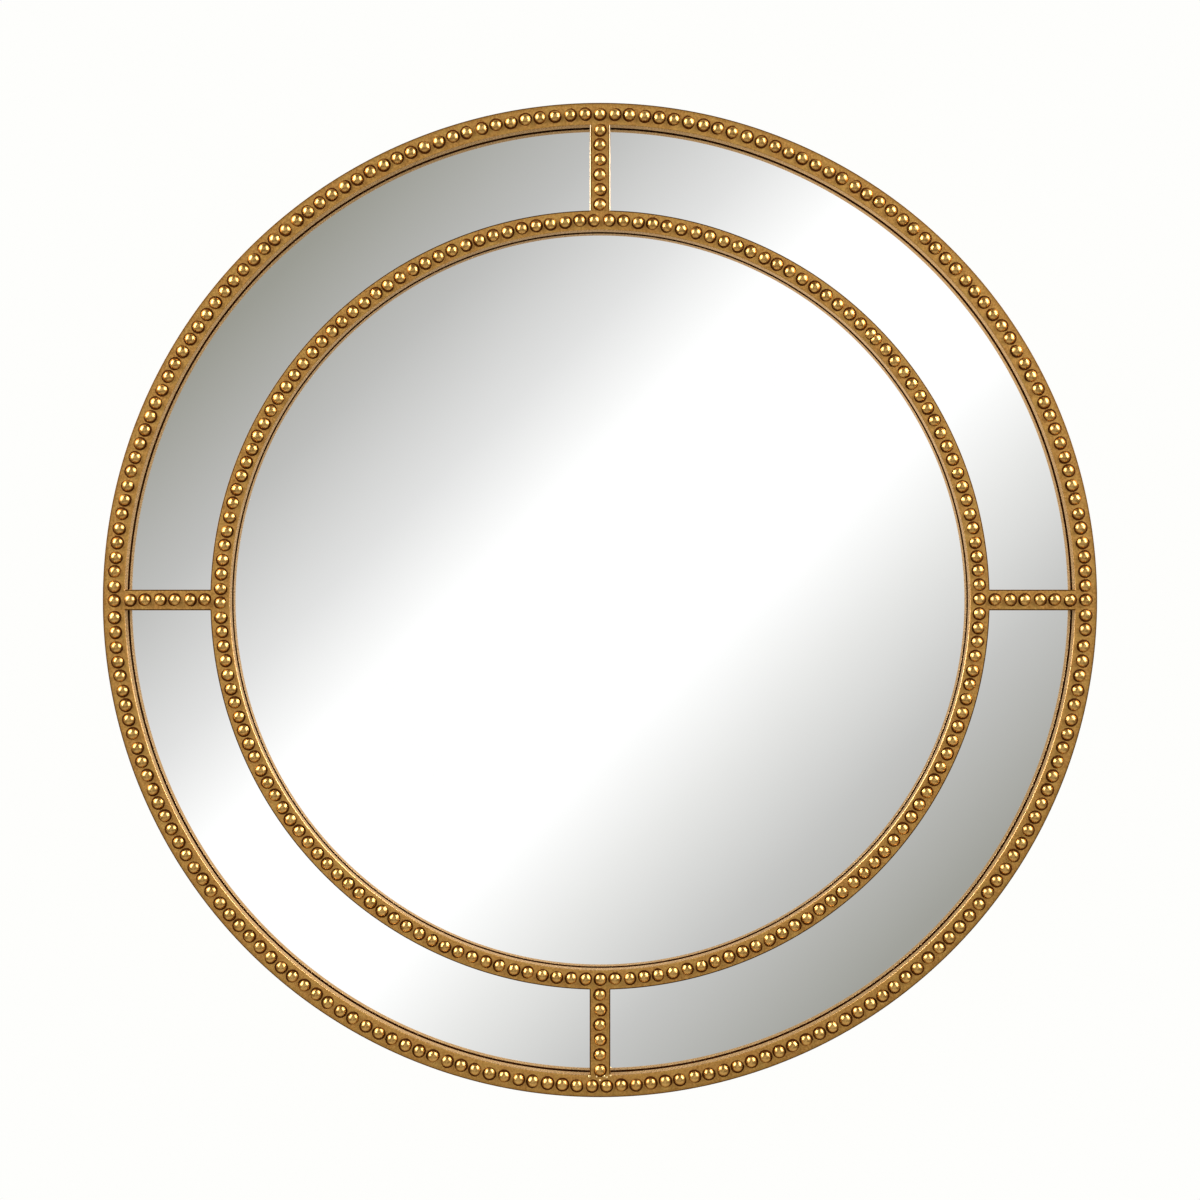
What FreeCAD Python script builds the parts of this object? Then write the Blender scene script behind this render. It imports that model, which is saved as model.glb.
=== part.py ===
import FreeCAD, Part
import math
import os

import Sketcher
from FreeCAD import Placement, Rotation, Vector

# Beaded wall mirror, in millimetres.
# +Z is up, the mirror faces -Y, and the origin is the centre of the back board's rear face.
# A depth is a distance in front of that face, so a point at depth 9 lies at Y = -9.
# A clock angle turns clockwise from the top as seen from the front.

SIZES = {
    # Gilt frame: two rings and four spokes, all flush at the front.
    # The outer panes' width is what shows of them between the rings.
    "outer_ring_radius": 406.4,
    "outer_ring_width": 18.0,
    "outer_pane_width": 69.9,
    "inner_ring_width": 16.0,
    "spoke_width": 16.9,
    "joint_clearance": 0.1,
    # Lips that cover the edges of the glass
    "lip_depth": 8.2,
    "outer_lip": 5.0,
    "inner_lip": 4.0,
    "spoke_lip": 4.0,
    # Beads on the faces
    "outer_bead_diameter": 10.2,
    "outer_bead_gap": 1.86,
    "inner_bead_diameter": 9.7,
    "inner_bead_gap": 2.145,
    "splice_gap": 0.3,
    "spoke_bead_diameter": 10.0,
    "spoke_bead_gap": 2.24,
    "spoke_bead_overhang": 0.8,
    "bead_height": 3.8,
    # Silvered glass and the foam tape behind it
    "glass_thickness": 4.0,
    "glass_clearance": 0.8,
    "tape_thickness": 1.6,
    "tape_width": 25.0,
    "tape_length": 60.0,
    # Back board
    "board_thickness": 9.0,
    "board_setback": 4.4,
    # Hangers, each a strap with a rolled eye and a wire D-ring
    "hanger_spread": 520.0,
    "hanger_height": 170.0,
    "strap_width": 14.0,
    "strap_length": 42.0,
    "strap_sheet": 1.0,
    "wire_diameter": 2.5,
    "eye_clearance": 0.08,
    "ring_side_gap": 0.4,
    "ring_arm": 5.0,
    # Screws that hold the straps
    "screw_offset": 20.0,
    "screw_spacing": 15.0,
    "screw_diameter": 3.0,
    "screw_length": 9.5,
    "screw_clearance": 0.2,
    "screw_head_diameter": 6.2,
    "screw_head_height": 1.8,
    # Rubber bumpers between the board and the wall
    "bumper_width": 16.0,
    "bumper_height": 5.6,
    "bumper_inset": 14.0,
}

# A bead is a low dome with few faces, because there are nearly four hundred of them
BEAD_FOOT_SIDES = 6
BEAD_SHOULDER_SIDES = 3
SHOULDER_RADIUS_SHARE = 0.62
SHOULDER_HEIGHT_SHARE = 0.8

# Clock angles, in degrees
SPOKES = {"upper": 0.0, "right": 90.0, "lower": 180.0, "left": 270.0}
QUARTERS = {"upper_right": 0.0, "lower_right": 90.0, "lower_left": 180.0, "upper_left": 270.0}
SPLICE_ANGLE = 46.1

# Beading comes in strips, each bent round a ring between two clock angles, so the spacing differs a little
# from strip to strip. The inner ring's last strip overlaps its first, where both are cut at the splice.
OUTER_STRIPS = (
    (94.62, 127.91),
    (127.93, 268.80),
    (269.04, 327.40),
    (327.40, 390.79),
    (390.79, 454.35),
)
INNER_STRIPS = (
    (45.58, 101.79),
    (101.79, 203.04),
    (203.04, 283.72),
    (283.72, 316.08),
    (316.08, 406.62),
)
OUTER_TAPE_ANGLES = (20.0, 45.0, 70.0)
BUMPER_ANGLES = (45.0, 135.0, 225.0, 315.0)

# The centre tape's grid has this share of the inner ring's bore between its rows
TAPE_GRID_SHARE = 0.6

# A D-ring hangs down over its strap, leaning out from the board by this angle
RING_LEAN = 6.0
RING_CHORDS = 6

# Small round hardware is many-sided too, and a hole has the sides of what goes through it
WIRE_SIDES = 8
SHANK_SIDES = 8
SCREW_HEAD_SIDES = 12
BUMPER_TIP_SHARE = 0.75

DOC = FreeCAD.newDocument("beaded_wall_mirror")
SHEET = DOC.addObject("Spreadsheet::Sheet", "Sizes")
for row, (name, length) in enumerate(SIZES.items(), start=1):
    SHEET.set(f"A{row}", name)
    SHEET.set(f"B{row}", str(length))
    SHEET.setAlias(f"B{row}", name)
DOC.recompute()

# Depths of the flat layers, from the back board to the gilt face
BOARD_FRONT = "Sizes.board_thickness"
GLASS_BACK = f"({BOARD_FRONT} + Sizes.tape_thickness)"
GLASS_FRONT = f"({GLASS_BACK} + Sizes.glass_thickness)"
FACE = f"({GLASS_FRONT} + Sizes.lip_depth)"

# Radii of the rings' faces, and of the walls behind their lips
OUTER_BORE = "(Sizes.outer_ring_radius - Sizes.outer_ring_width)"
OUTER_REBATE = f"({OUTER_BORE} + Sizes.outer_lip)"
INNER_RADIUS = f"({OUTER_BORE} - Sizes.outer_pane_width)"
INNER_BORE = f"({INNER_RADIUS} - Sizes.inner_ring_width)"
INNER_STEM_BORE = f"({INNER_BORE} + Sizes.inner_lip)"
INNER_STEM = f"({INNER_RADIUS} - Sizes.inner_lip)"
SPOKE_STEM = "(Sizes.spoke_width / 2 - Sizes.spoke_lip)"

# The rolled eye of a hanger strap, which lies on the back of the board
EYE_BORE = "(Sizes.wire_diameter / 2 + Sizes.eye_clearance)"
EYE_RADIUS = f"({EYE_BORE} + Sizes.strap_sheet)"
STRAP_THICKNESS = "(2 * Sizes.strap_sheet)"
SCREW_DROPS = ("Sizes.screw_offset", "(Sizes.screw_offset + Sizes.screw_spacing)")
SHANK_RADIUS = "(Sizes.screw_diameter / 2)"

NODES = []


def size(expression):
    """The number that an expression of the sheet's names comes to."""
    return float(SHEET.evalExpression(expression))


def clock(angle):
    """A turn about the mirror's axis, clockwise from the top as seen from the front."""
    return Rotation(Vector(0, 1, 0), angle)


def on_circle(radius, angle):
    """The point at a clock angle on a circle about the mirror's axis."""
    return clock(angle).multVec(Vector(0, 0, radius))


def new_body(label):
    """A body that becomes one node of the mirror."""
    body = DOC.addObject("PartDesign::Body", label)
    body.Label = label
    NODES.append(body)
    return body


def new_sketch(body, name, role, lift=None):
    """A sketch on one of the body's own origin planes, lifted along the plane's normal."""
    sketch = body.newObject("Sketcher::SketchObject", name)
    plane = next(part for part in body.Origin.OriginFeatures if part.Role == role)
    sketch.AttachmentSupport = [(plane, "")]
    sketch.MapMode = "FlatFace"
    if lift:
        sketch.setExpression("AttachmentOffset.Base.z", lift)
    return sketch


def bind(sketch, constraint, expression):
    """Adds a dimension to a sketch and ties it to the sheet."""
    index = sketch.addConstraint(constraint)
    sketch.setExpression(f"Constraints[{index}]", expression)


def draw_outline(sketch, corners):
    """Draws a closed outline through corners, each given as expressions across and up from the origin."""
    points = [Vector(size(across), size(up), 0) for across, up in corners]
    lines = [
        sketch.addGeometry(Part.LineSegment(start, end), False)
        for start, end in zip(points, points[1:] + points[:1])
    ]
    for line, following, point, (across, up) in zip(lines, lines[1:] + lines[:1], points, corners):
        sketch.addConstraint(Sketcher.Constraint("Coincident", line, 2, following, 1))
        bind(sketch, Sketcher.Constraint("DistanceX", -1, 1, line, 1, point.x), across)
        bind(sketch, Sketcher.Constraint("DistanceY", -1, 1, line, 1, point.y), up)


def draw_polygon(sketch, sides, radius, across="", up=""):
    """Draws a regular polygon, its corners at a radius about the origin or about a place off it."""
    corners = []
    for place in range(sides):
        angle = 2 * math.pi * (place + 0.5) / sides
        corners.append((
            f"{across} + {math.cos(angle):.9f} * ({radius})",
            f"{up} + {math.sin(angle):.9f} * ({radius})",
        ))
    draw_outline(sketch, corners)


def draw_circle(sketch, radius):
    """Draws a circle about the origin."""
    circle = sketch.addGeometry(Part.Circle(Vector(0, 0, 0), Vector(0, 0, 1), size(radius)), False)
    sketch.addConstraint(Sketcher.Constraint("Coincident", circle, 3, -1, 1))
    bind(sketch, Sketcher.Constraint("Radius", circle, size(radius)), radius)


def draw_arc(sketch, radius, start, end):
    """Draws an arc about the origin, from one angle to the other, and returns its index."""
    circle = Part.Circle(Vector(0, 0, 0), Vector(0, 0, 1), size(radius))
    arc = sketch.addGeometry(Part.ArcOfCircle(circle, start, end), False)
    sketch.addConstraint(Sketcher.Constraint("Coincident", arc, 3, -1, 1))
    bind(sketch, Sketcher.Constraint("Radius", arc, size(radius)), radius)
    return arc


def draw_bar(sketch, half_width, inner_radius, outer_radius):
    """Draws a spoke's outline: two straight sides between an arc of each radius."""
    half, low, high = size(half_width), size(inner_radius), size(outer_radius)
    outer_angle = math.acos(half / high)
    inner_angle = math.acos(half / low)
    outer = draw_arc(sketch, outer_radius, outer_angle, math.pi - outer_angle)
    inner = draw_arc(sketch, inner_radius, inner_angle, math.pi - inner_angle)
    high_end = high * math.sin(outer_angle)
    low_end = low * math.sin(inner_angle)
    for side, end in ((half, 1), (-half, 2)):
        line = sketch.addGeometry(Part.LineSegment(Vector(side, low_end, 0), Vector(side, high_end, 0)), False)
        sketch.addConstraint(Sketcher.Constraint("Coincident", line, 1, inner, end))
        sketch.addConstraint(Sketcher.Constraint("Coincident", line, 2, outer, end))
        sketch.addConstraint(Sketcher.Constraint("Vertical", line))
        reach = (-1, 1, line, 1) if side > 0 else (line, 1, -1, 1)
        bind(sketch, Sketcher.Constraint("DistanceX", *reach, half), half_width)


def draw_quarter(sketch, inset, inner_radius, outer_radius):
    """Draws a quarter pane's outline, its straight sides inset from the two axes."""
    edge, low, high = size(inset), size(inner_radius), size(outer_radius)
    outer_angle = math.asin(edge / high)
    inner_angle = math.asin(edge / low)
    outer = draw_arc(sketch, outer_radius, outer_angle, math.pi / 2 - outer_angle)
    inner = draw_arc(sketch, inner_radius, inner_angle, math.pi / 2 - inner_angle)
    high_end = high * math.cos(outer_angle)
    low_end = low * math.cos(inner_angle)
    flat = sketch.addGeometry(Part.LineSegment(Vector(low_end, edge, 0), Vector(high_end, edge, 0)), False)
    upright = sketch.addGeometry(Part.LineSegment(Vector(edge, low_end, 0), Vector(edge, high_end, 0)), False)
    for line, end in ((flat, 1), (upright, 2)):
        sketch.addConstraint(Sketcher.Constraint("Coincident", line, 1, inner, end))
        sketch.addConstraint(Sketcher.Constraint("Coincident", line, 2, outer, end))
    sketch.addConstraint(Sketcher.Constraint("Horizontal", flat))
    sketch.addConstraint(Sketcher.Constraint("Vertical", upright))
    bind(sketch, Sketcher.Constraint("DistanceY", -1, 1, flat, 1, edge), inset)
    bind(sketch, Sketcher.Constraint("DistanceX", -1, 1, upright, 1, edge), inset)


def pad(body, name, sketch, length, both_ways=False):
    """Pads a sketch along its normal, or half to each side of it."""
    feature = body.newObject("PartDesign::Pad", name)
    feature.Profile = sketch
    feature.setExpression("Length", length)
    feature.Midplane = both_ways
    return feature


def turn(body, name, sketch):
    """Turns a profile once round the mirror's axis."""
    feature = body.newObject("PartDesign::Revolution", name)
    feature.Profile = sketch
    feature.ReferenceAxis = (sketch, ["V_Axis"])
    feature.Angle = 360.0
    return feature


def make_outer_ring():
    """The outer ring, turned with a rebate for the glass behind its lip."""
    body = new_body("outer_ring")
    section = new_sketch(body, "outer_ring_section", "XY_Plane")
    draw_outline(section, [
        (OUTER_BORE, f"-{FACE}"),
        ("Sizes.outer_ring_radius", f"-{FACE}"),
        ("Sizes.outer_ring_radius", f"-{BOARD_FRONT}"),
        (OUTER_REBATE, f"-{BOARD_FRONT}"),
        (OUTER_REBATE, f"-{GLASS_FRONT}"),
        (OUTER_BORE, f"-{GLASS_FRONT}"),
    ])
    turn(body, "outer_ring_turning", section)


def make_inner_ring():
    """The inner ring, turned as a T: a face with a lip on each side of a stem."""
    body = new_body("inner_ring")
    section = new_sketch(body, "inner_ring_section", "XY_Plane")
    draw_outline(section, [
        (INNER_BORE, f"-{FACE}"),
        (INNER_RADIUS, f"-{FACE}"),
        (INNER_RADIUS, f"-{GLASS_FRONT}"),
        (INNER_STEM, f"-{GLASS_FRONT}"),
        (INNER_STEM, f"-{BOARD_FRONT}"),
        (INNER_STEM_BORE, f"-{BOARD_FRONT}"),
        (INNER_STEM_BORE, f"-{GLASS_FRONT}"),
        (INNER_BORE, f"-{GLASS_FRONT}"),
    ])
    turn(body, "inner_ring_turning", section)


def make_spoke(side, angle):
    """A spoke: a face between the rings, on a longer stem whose ends reach under the rings' lips."""
    body = new_body(f"{side}_spoke")
    face = new_sketch(body, f"{side}_face_outline", "XZ_Plane", GLASS_FRONT)
    inner_end = f"{INNER_RADIUS} + Sizes.joint_clearance"
    outer_end = f"{OUTER_BORE} - Sizes.joint_clearance"
    draw_bar(face, "Sizes.spoke_width / 2", inner_end, outer_end)
    pad(body, f"{side}_face", face, "Sizes.lip_depth")
    stem = new_sketch(body, f"{side}_stem_outline", "XZ_Plane", BOARD_FRONT)
    inner_tenon = f"{INNER_STEM} + Sizes.joint_clearance"
    outer_tenon = f"{OUTER_REBATE} - Sizes.joint_clearance"
    draw_bar(stem, SPOKE_STEM, inner_tenon, outer_tenon)
    pad(body, f"{side}_stem", stem, f"{GLASS_FRONT} - {BOARD_FRONT}")
    body.Placement = Placement(Vector(0, 0, 0), clock(angle))


def make_centre_mirror():
    """The centre disc of silvered glass, behind the inner ring's inner lip."""
    body = new_body("centre_mirror")
    outline = new_sketch(body, "centre_mirror_outline", "XZ_Plane", GLASS_BACK)
    draw_circle(outline, f"{INNER_STEM_BORE} - Sizes.glass_clearance")
    pad(body, "centre_mirror_glass", outline, "Sizes.glass_thickness")


def make_quarter_mirror(corner, angle):
    """A quarter pane of silvered glass, between two spokes and the two rings."""
    body = new_body(f"{corner}_mirror")
    outline = new_sketch(body, f"{corner}_outline", "XZ_Plane", GLASS_BACK)
    inset = f"{SPOKE_STEM} + Sizes.glass_clearance"
    inner_edge = f"{INNER_STEM} + Sizes.glass_clearance"
    outer_edge = f"{OUTER_REBATE} - Sizes.glass_clearance"
    draw_quarter(outline, inset, inner_edge, outer_edge)
    pad(body, f"{corner}_glass", outline, "Sizes.glass_thickness")
    body.Placement = Placement(Vector(0, 0, 0), clock(angle))


def screw_places():
    """The four hanger screws' places on the back of the board, as expressions across and up."""
    return [
        (f"{sign}Sizes.hanger_spread / 2", f"Sizes.hanger_height - {drop}")
        for sign in ("-", "")
        for drop in SCREW_DROPS
    ]


def make_back_board():
    """The round back board, with blind holes for the hanger screws."""
    body = new_body("back_board")
    outline = new_sketch(body, "back_board_outline", "XZ_Plane")
    draw_circle(outline, "Sizes.outer_ring_radius - Sizes.board_setback")
    disc = pad(body, "back_board_disc", outline, "Sizes.board_thickness")
    pilots = new_sketch(body, "hanger_pilot_outlines", "XZ_Plane")
    for across, up in screw_places():
        draw_polygon(pilots, SHANK_SIDES, SHANK_RADIUS, across, up)
    drilled = body.newObject("PartDesign::Pocket", "hanger_pilot_holes")
    drilled.Profile = pilots
    drilled.setExpression("Length", f"Sizes.screw_length - {STRAP_THICKNESS}")
    drilled.Reversed = True
    DOC.recompute()
    if drilled.Shape.Volume >= disc.Shape.Volume:
        raise RuntimeError("the hanger pilot holes cut nothing")


def bead_shape(foot_radius, height):
    """One bead as a solid: a six-sided foot, a three-sided shoulder and a point, rising along -Y."""
    def ring(sides, radius, rise, first):
        step = 360.0 / sides
        return [on_circle(radius, first + step * place) - Vector(0, rise, 0) for place in range(sides)]

    foot = ring(BEAD_FOOT_SIDES, foot_radius, 0, 0)
    half_step = 180.0 / BEAD_FOOT_SIDES
    shoulder = ring(
        BEAD_SHOULDER_SIDES, foot_radius * SHOULDER_RADIUS_SHARE, height * SHOULDER_HEIGHT_SHARE, half_step
    )
    crown = Vector(0, -height, 0)
    outlines = [foot]
    for place in range(BEAD_SHOULDER_SIDES):
        near, middle, far = (foot[(2 * place + step) % BEAD_FOOT_SIDES] for step in range(3))
        this, following = shoulder[place], shoulder[(place + 1) % BEAD_SHOULDER_SIDES]
        outlines.append([near, middle, this])
        outlines.append([middle, far, following, this])
        outlines.append([this, following, crown])
    faces = [Part.Face(Part.makePolygon(outline + outline[:1])) for outline in outlines]
    solid = Part.Solid(Part.Shell(faces))
    if solid.Volume < 0:
        solid.reverse()
    return solid


def add_group(label, solids, placement):
    """A node that holds a group of separate solids, made about the origin and then placed."""
    group = DOC.addObject("Part::Feature", label)
    group.Label = label
    group.Shape = Part.makeCompound(solids)
    group.Placement = placement
    NODES.append(group)
    return group


def at_depth(expression, rotation=Rotation()):
    """A placement on the plane at a depth in front of the board's rear face."""
    return Placement(Vector(0, -size(expression), 0), rotation)


def placed(shape, position, rotation=Rotation()):
    """A copy of a shape, turned and then moved."""
    copy = shape.copy()
    copy.Placement = Placement(position, rotation).multiply(shape.Placement)
    return copy


def strip_angles(strips, radius, pitch):
    """The clock angles of the beads in strips on a circle, evenly spaced in each strip."""
    angles = []
    for start, end in strips:
        count = round(math.radians(end - start) * radius / pitch)
        step = (end - start) / count
        angles += [start + (place + 0.5) * step for place in range(count)]
    return angles


def make_outer_beads():
    """The outer ring's beads, in strips that meet end to end."""
    radius = size("Sizes.outer_ring_radius - Sizes.outer_ring_width / 2")
    pitch = size("Sizes.outer_bead_diameter + Sizes.outer_bead_gap")
    bead = bead_shape(size("Sizes.outer_bead_diameter / 2"), size("Sizes.bead_height"))
    beads = [
        placed(bead, on_circle(radius, angle), clock(angle)) for angle in strip_angles(OUTER_STRIPS, radius, pitch)
    ]
    add_group("outer_ring_beads", beads, at_depth(FACE))


def end_cutter(block, half_gap, before):
    """A block that removes all of a bead on the far side of the splice."""
    width = block.BoundBox.XLength
    shift = Vector(half_gap - width, 0, 0) if before else Vector(-half_gap, 0, 0)
    cutter = block.copy()
    cutter.translate(shift)
    cutter.rotate(Vector(0, 0, 0), Vector(0, 1, 0), SPLICE_ANGLE)
    return cutter


def make_inner_beads():
    """The inner ring's beads, in strips, whose first and last beads are cut where they meet."""
    radius = size(f"{INNER_RADIUS} - Sizes.inner_ring_width / 2")
    pitch = size("Sizes.inner_bead_diameter + Sizes.inner_bead_gap")
    angles = strip_angles(INNER_STRIPS, radius, pitch)
    bead = bead_shape(size("Sizes.inner_bead_diameter / 2"), size("Sizes.bead_height"))
    width, depth = size("Sizes.inner_ring_width"), size("2 * Sizes.bead_height")
    saw_cut = Part.makeBox(
        size("Sizes.inner_bead_diameter"), depth, width, Vector(0, -depth, radius - width / 2)
    )
    half_gap = size("Sizes.splice_gap / 2")
    beads = []
    for place, angle in enumerate(angles):
        solid = placed(bead, on_circle(radius, angle), clock(angle))
        if place == 0:
            solid = solid.cut(end_cutter(saw_cut, half_gap, True))
        if place == len(angles) - 1:
            solid = solid.cut(end_cutter(saw_cut, half_gap, False))
        beads.append(solid)
    solids = [part for bead_or_cut in beads for part in bead_or_cut.Solids]
    add_group("inner_ring_beads", solids, at_depth(FACE))


def make_spoke_beads(side, angle):
    """One spoke's row of beads, centred between the two rings."""
    low = size(INNER_RADIUS)
    high = size(OUTER_BORE)
    diameter = size("Sizes.spoke_bead_diameter")
    pitch = size("Sizes.spoke_bead_diameter + Sizes.spoke_bead_gap")
    room = high - low + 2 * size("Sizes.spoke_bead_overhang") - diameter
    count = math.floor(room / pitch) + 1
    first = (low + high) / 2 - (count - 1) / 2 * pitch
    bead = bead_shape(diameter / 2, size("Sizes.bead_height"))
    beads = [placed(bead, Vector(0, 0, first + place * pitch)) for place in range(count)]
    add_group(f"{side}_spoke_beads", beads, at_depth(FACE, clock(angle)))


def tape_pad():
    """One pad of foam tape, centred on the mirror's axis and rising from the board."""
    length, thickness, width = (
        size(f"Sizes.{name}") for name in ("tape_length", "tape_thickness", "tape_width")
    )
    return Part.makeBox(length, thickness, width, Vector(-length / 2, -thickness, -width / 2))


def make_centre_tape():
    """Nine pads behind the centre mirror, in a square grid."""
    spacing = TAPE_GRID_SHARE * size(INNER_BORE)
    places = [Vector(column * spacing, 0, row * spacing) for row in (-1, 0, 1) for column in (-1, 0, 1)]
    add_group("centre_mirror_tape", [placed(tape_pad(), place) for place in places], at_depth(BOARD_FRONT))


def make_outer_tape():
    """Three pads behind each outer mirror, along the middle of the pane."""
    radius = size(f"({INNER_STEM} + {OUTER_REBATE}) / 2")
    pads = []
    for corner_angle in QUARTERS.values():
        for step in OUTER_TAPE_ANGLES:
            angle = corner_angle + step
            pads.append(placed(tape_pad(), on_circle(radius, angle), clock(angle)))
    add_group("outer_mirror_tape", pads, at_depth(BOARD_FRONT))


def eye_centre(across_share):
    """The centre of a hanger's eye, on the left for -1 and on the right for 1."""
    across = across_share * size("Sizes.hanger_spread / 2")
    return Vector(across, size(EYE_RADIUS), size("Sizes.hanger_height"))


def make_hanger_strap(side, across_share):
    """A hanger strap: a strip folded double round the D-ring, so it is a flat tail below a rolled eye."""
    body = new_body(f"{side}_hanger_strap")
    section = new_sketch(body, f"{side}_strap_section", "YZ_Plane")
    eye, tail, end = size(EYE_RADIUS), size(STRAP_THICKNESS), size("Sizes.strap_length")
    meet = math.sqrt(eye ** 2 - (eye - tail) ** 2)
    meet_angle = math.atan2(-meet, tail - eye)
    roll = draw_arc(section, EYE_RADIUS, meet_angle, math.pi)
    front = section.addGeometry(Part.LineSegment(Vector(-eye, 0, 0), Vector(-eye, -end, 0)), False)
    foot = section.addGeometry(Part.LineSegment(Vector(-eye, -end, 0), Vector(tail - eye, -end, 0)), False)
    rear = section.addGeometry(
        Part.LineSegment(Vector(tail - eye, -end, 0), Vector(tail - eye, -meet, 0)), False
    )
    for first, first_end, second, second_end in (
        (roll, 2, front, 1), (front, 2, foot, 1), (foot, 2, rear, 1), (rear, 2, roll, 1)
    ):
        section.addConstraint(Sketcher.Constraint("Coincident", first, first_end, second, second_end))
    for kind, line in (("Vertical", front), ("Horizontal", foot), ("Vertical", rear)):
        section.addConstraint(Sketcher.Constraint(kind, line))
    section.addConstraint(Sketcher.Constraint("PointOnObject", front, 1, -1))
    bind(section, Sketcher.Constraint("DistanceY", foot, 1, -1, 1, end), "Sizes.strap_length")
    bind(section, Sketcher.Constraint("DistanceX", foot, 1, foot, 2, tail), STRAP_THICKNESS)
    draw_circle(section, EYE_BORE)
    strip = pad(body, f"{side}_strap_strip", section, "Sizes.strap_width", both_ways=True)
    holes = new_sketch(body, f"{side}_strap_hole_outlines", "XZ_Plane")
    for drop in SCREW_DROPS:
        draw_polygon(holes, SHANK_SIDES, f"{SHANK_RADIUS} + Sizes.screw_clearance", up=f"-{drop}")
    drilled = body.newObject("PartDesign::Pocket", f"{side}_strap_holes")
    drilled.Profile = holes
    drilled.Type = "ThroughAll"
    drilled.Midplane = True
    DOC.recompute()
    if drilled.Shape.Volume >= strip.Shape.Volume:
        raise RuntimeError(f"the {side} strap's screw holes cut nothing")
    body.Placement = Placement(eye_centre(across_share), Rotation())


def make_d_ring(side, across_share):
    """A wire D-ring: a bar through the strap's eye, two arms and a half round, hanging over the strap."""
    body = new_body(f"{side}_d_ring")
    reach = "(Sizes.strap_width / 2 + Sizes.ring_side_gap + Sizes.wire_diameter / 2)"
    corners = [(f"-{reach}", "0"), (reach, "0")]
    for place in range(RING_CHORDS + 1):
        angle = math.pi * place / RING_CHORDS
        corners.append((
            f"{math.cos(angle):.9f} * {reach}",
            f"-Sizes.ring_arm - {math.sin(angle):.9f} * {reach}",
        ))
    path = new_sketch(body, f"{side}_ring_path", "XZ_Plane")
    draw_outline(path, corners)
    section = new_sketch(body, f"{side}_wire_section", "YZ_Plane")
    draw_polygon(section, WIRE_SIDES, "Sizes.wire_diameter / 2")
    wire = body.newObject("PartDesign::AdditivePipe", f"{side}_ring_wire")
    wire.Profile = section
    wire.Spine = (path, [f"Edge{place + 1}" for place in range(len(corners))])
    wire.Transition = "Right corner"
    body.Placement = Placement(eye_centre(across_share), Rotation(Vector(1, 0, 0), RING_LEAN))


def prism(sides, radius, rise):
    """A many-sided stand-in for a short cylinder about the mirror's axis, from the origin along +Y."""
    corners = [on_circle(radius, 360.0 * (place + 0.5) / sides) for place in range(sides)]
    return Part.Face(Part.makePolygon(corners + corners[:1])).extrude(Vector(0, rise, 0))


def make_hanger_screws():
    """The four pan-head screws that hold the straps to the board."""
    shank = prism(SHANK_SIDES, size(SHANK_RADIUS), -size("Sizes.screw_length"))
    head = prism(SCREW_HEAD_SIDES, size("Sizes.screw_head_diameter / 2"), size("Sizes.screw_head_height"))
    screw = shank.fuse(head)
    places = [Vector(size(across), 0, size(up)) for across, up in screw_places()]
    screws = [placed(screw, place) for place in places]
    add_group("hanger_screws", screws, Placement(Vector(0, size(STRAP_THICKNESS), 0), Rotation()))


def make_wall_bumpers():
    """Four square rubber bumpers near the edge of the board, tapered towards the wall."""
    radius = size("Sizes.outer_ring_radius - Sizes.board_setback - Sizes.bumper_inset")
    foot, height = size("Sizes.bumper_width / 2"), size("Sizes.bumper_height")
    tip = foot * BUMPER_TIP_SHARE
    bumper = Part.makeWedge(-foot, 0, -foot, -tip, -tip, foot, height, foot, tip, tip)
    bumpers = [placed(bumper, on_circle(radius, angle), clock(angle)) for angle in BUMPER_ANGLES]
    add_group("wall_bumpers", bumpers, Placement())


def check_document():
    """Stops if any object failed to build, or if a node's shape isn't sound."""
    for item in DOC.Objects:
        faults = {"Invalid", "Error"} & set(item.State)
        if faults:
            raise RuntimeError(f"{item.Label}: {', '.join(sorted(faults))}")
    for node in NODES:
        if node.Shape.isNull() or not node.Shape.isValid() or not node.Shape.Solids:
            raise RuntimeError(f"{node.Label}: its shape isn't sound")


def main():
    """Builds every piece, checks it and writes it to parts."""
    make_outer_ring()
    make_inner_ring()
    for side, angle in SPOKES.items():
        make_spoke(side, angle)
        make_spoke_beads(side, angle)
    make_outer_beads()
    make_inner_beads()
    make_centre_mirror()
    for corner, angle in QUARTERS.items():
        make_quarter_mirror(corner, angle)
    make_centre_tape()
    make_outer_tape()
    make_back_board()
    for side, across_share in (("left", -1), ("right", 1)):
        make_hanger_strap(side, across_share)
        make_d_ring(side, across_share)
    make_hanger_screws()
    make_wall_bumpers()
    DOC.recompute()
    check_document()
    os.makedirs("parts", exist_ok=True)
    for node in NODES:
        node.Shape.exportStep(os.path.join("parts", f"{node.Label}.step"))
        print(f"{node.Label}: {len(node.Shape.Solids)} solids, {node.Shape.Volume:.0f} mm3")


main()
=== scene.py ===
"""The looks of a round beaded wall mirror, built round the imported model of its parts.

Everything is in metres, in the frame of the parts: +Z is up, the mirror faces -Y, and the origin is the
centre of the back board's rear face. A depth is a distance in front of that face. A clock angle turns
clockwise from the top, as seen from the front.
"""

import logging
import math
from dataclasses import dataclass
from enum import Enum

import bmesh
import bpy
from mathutils import Matrix, Vector


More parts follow.
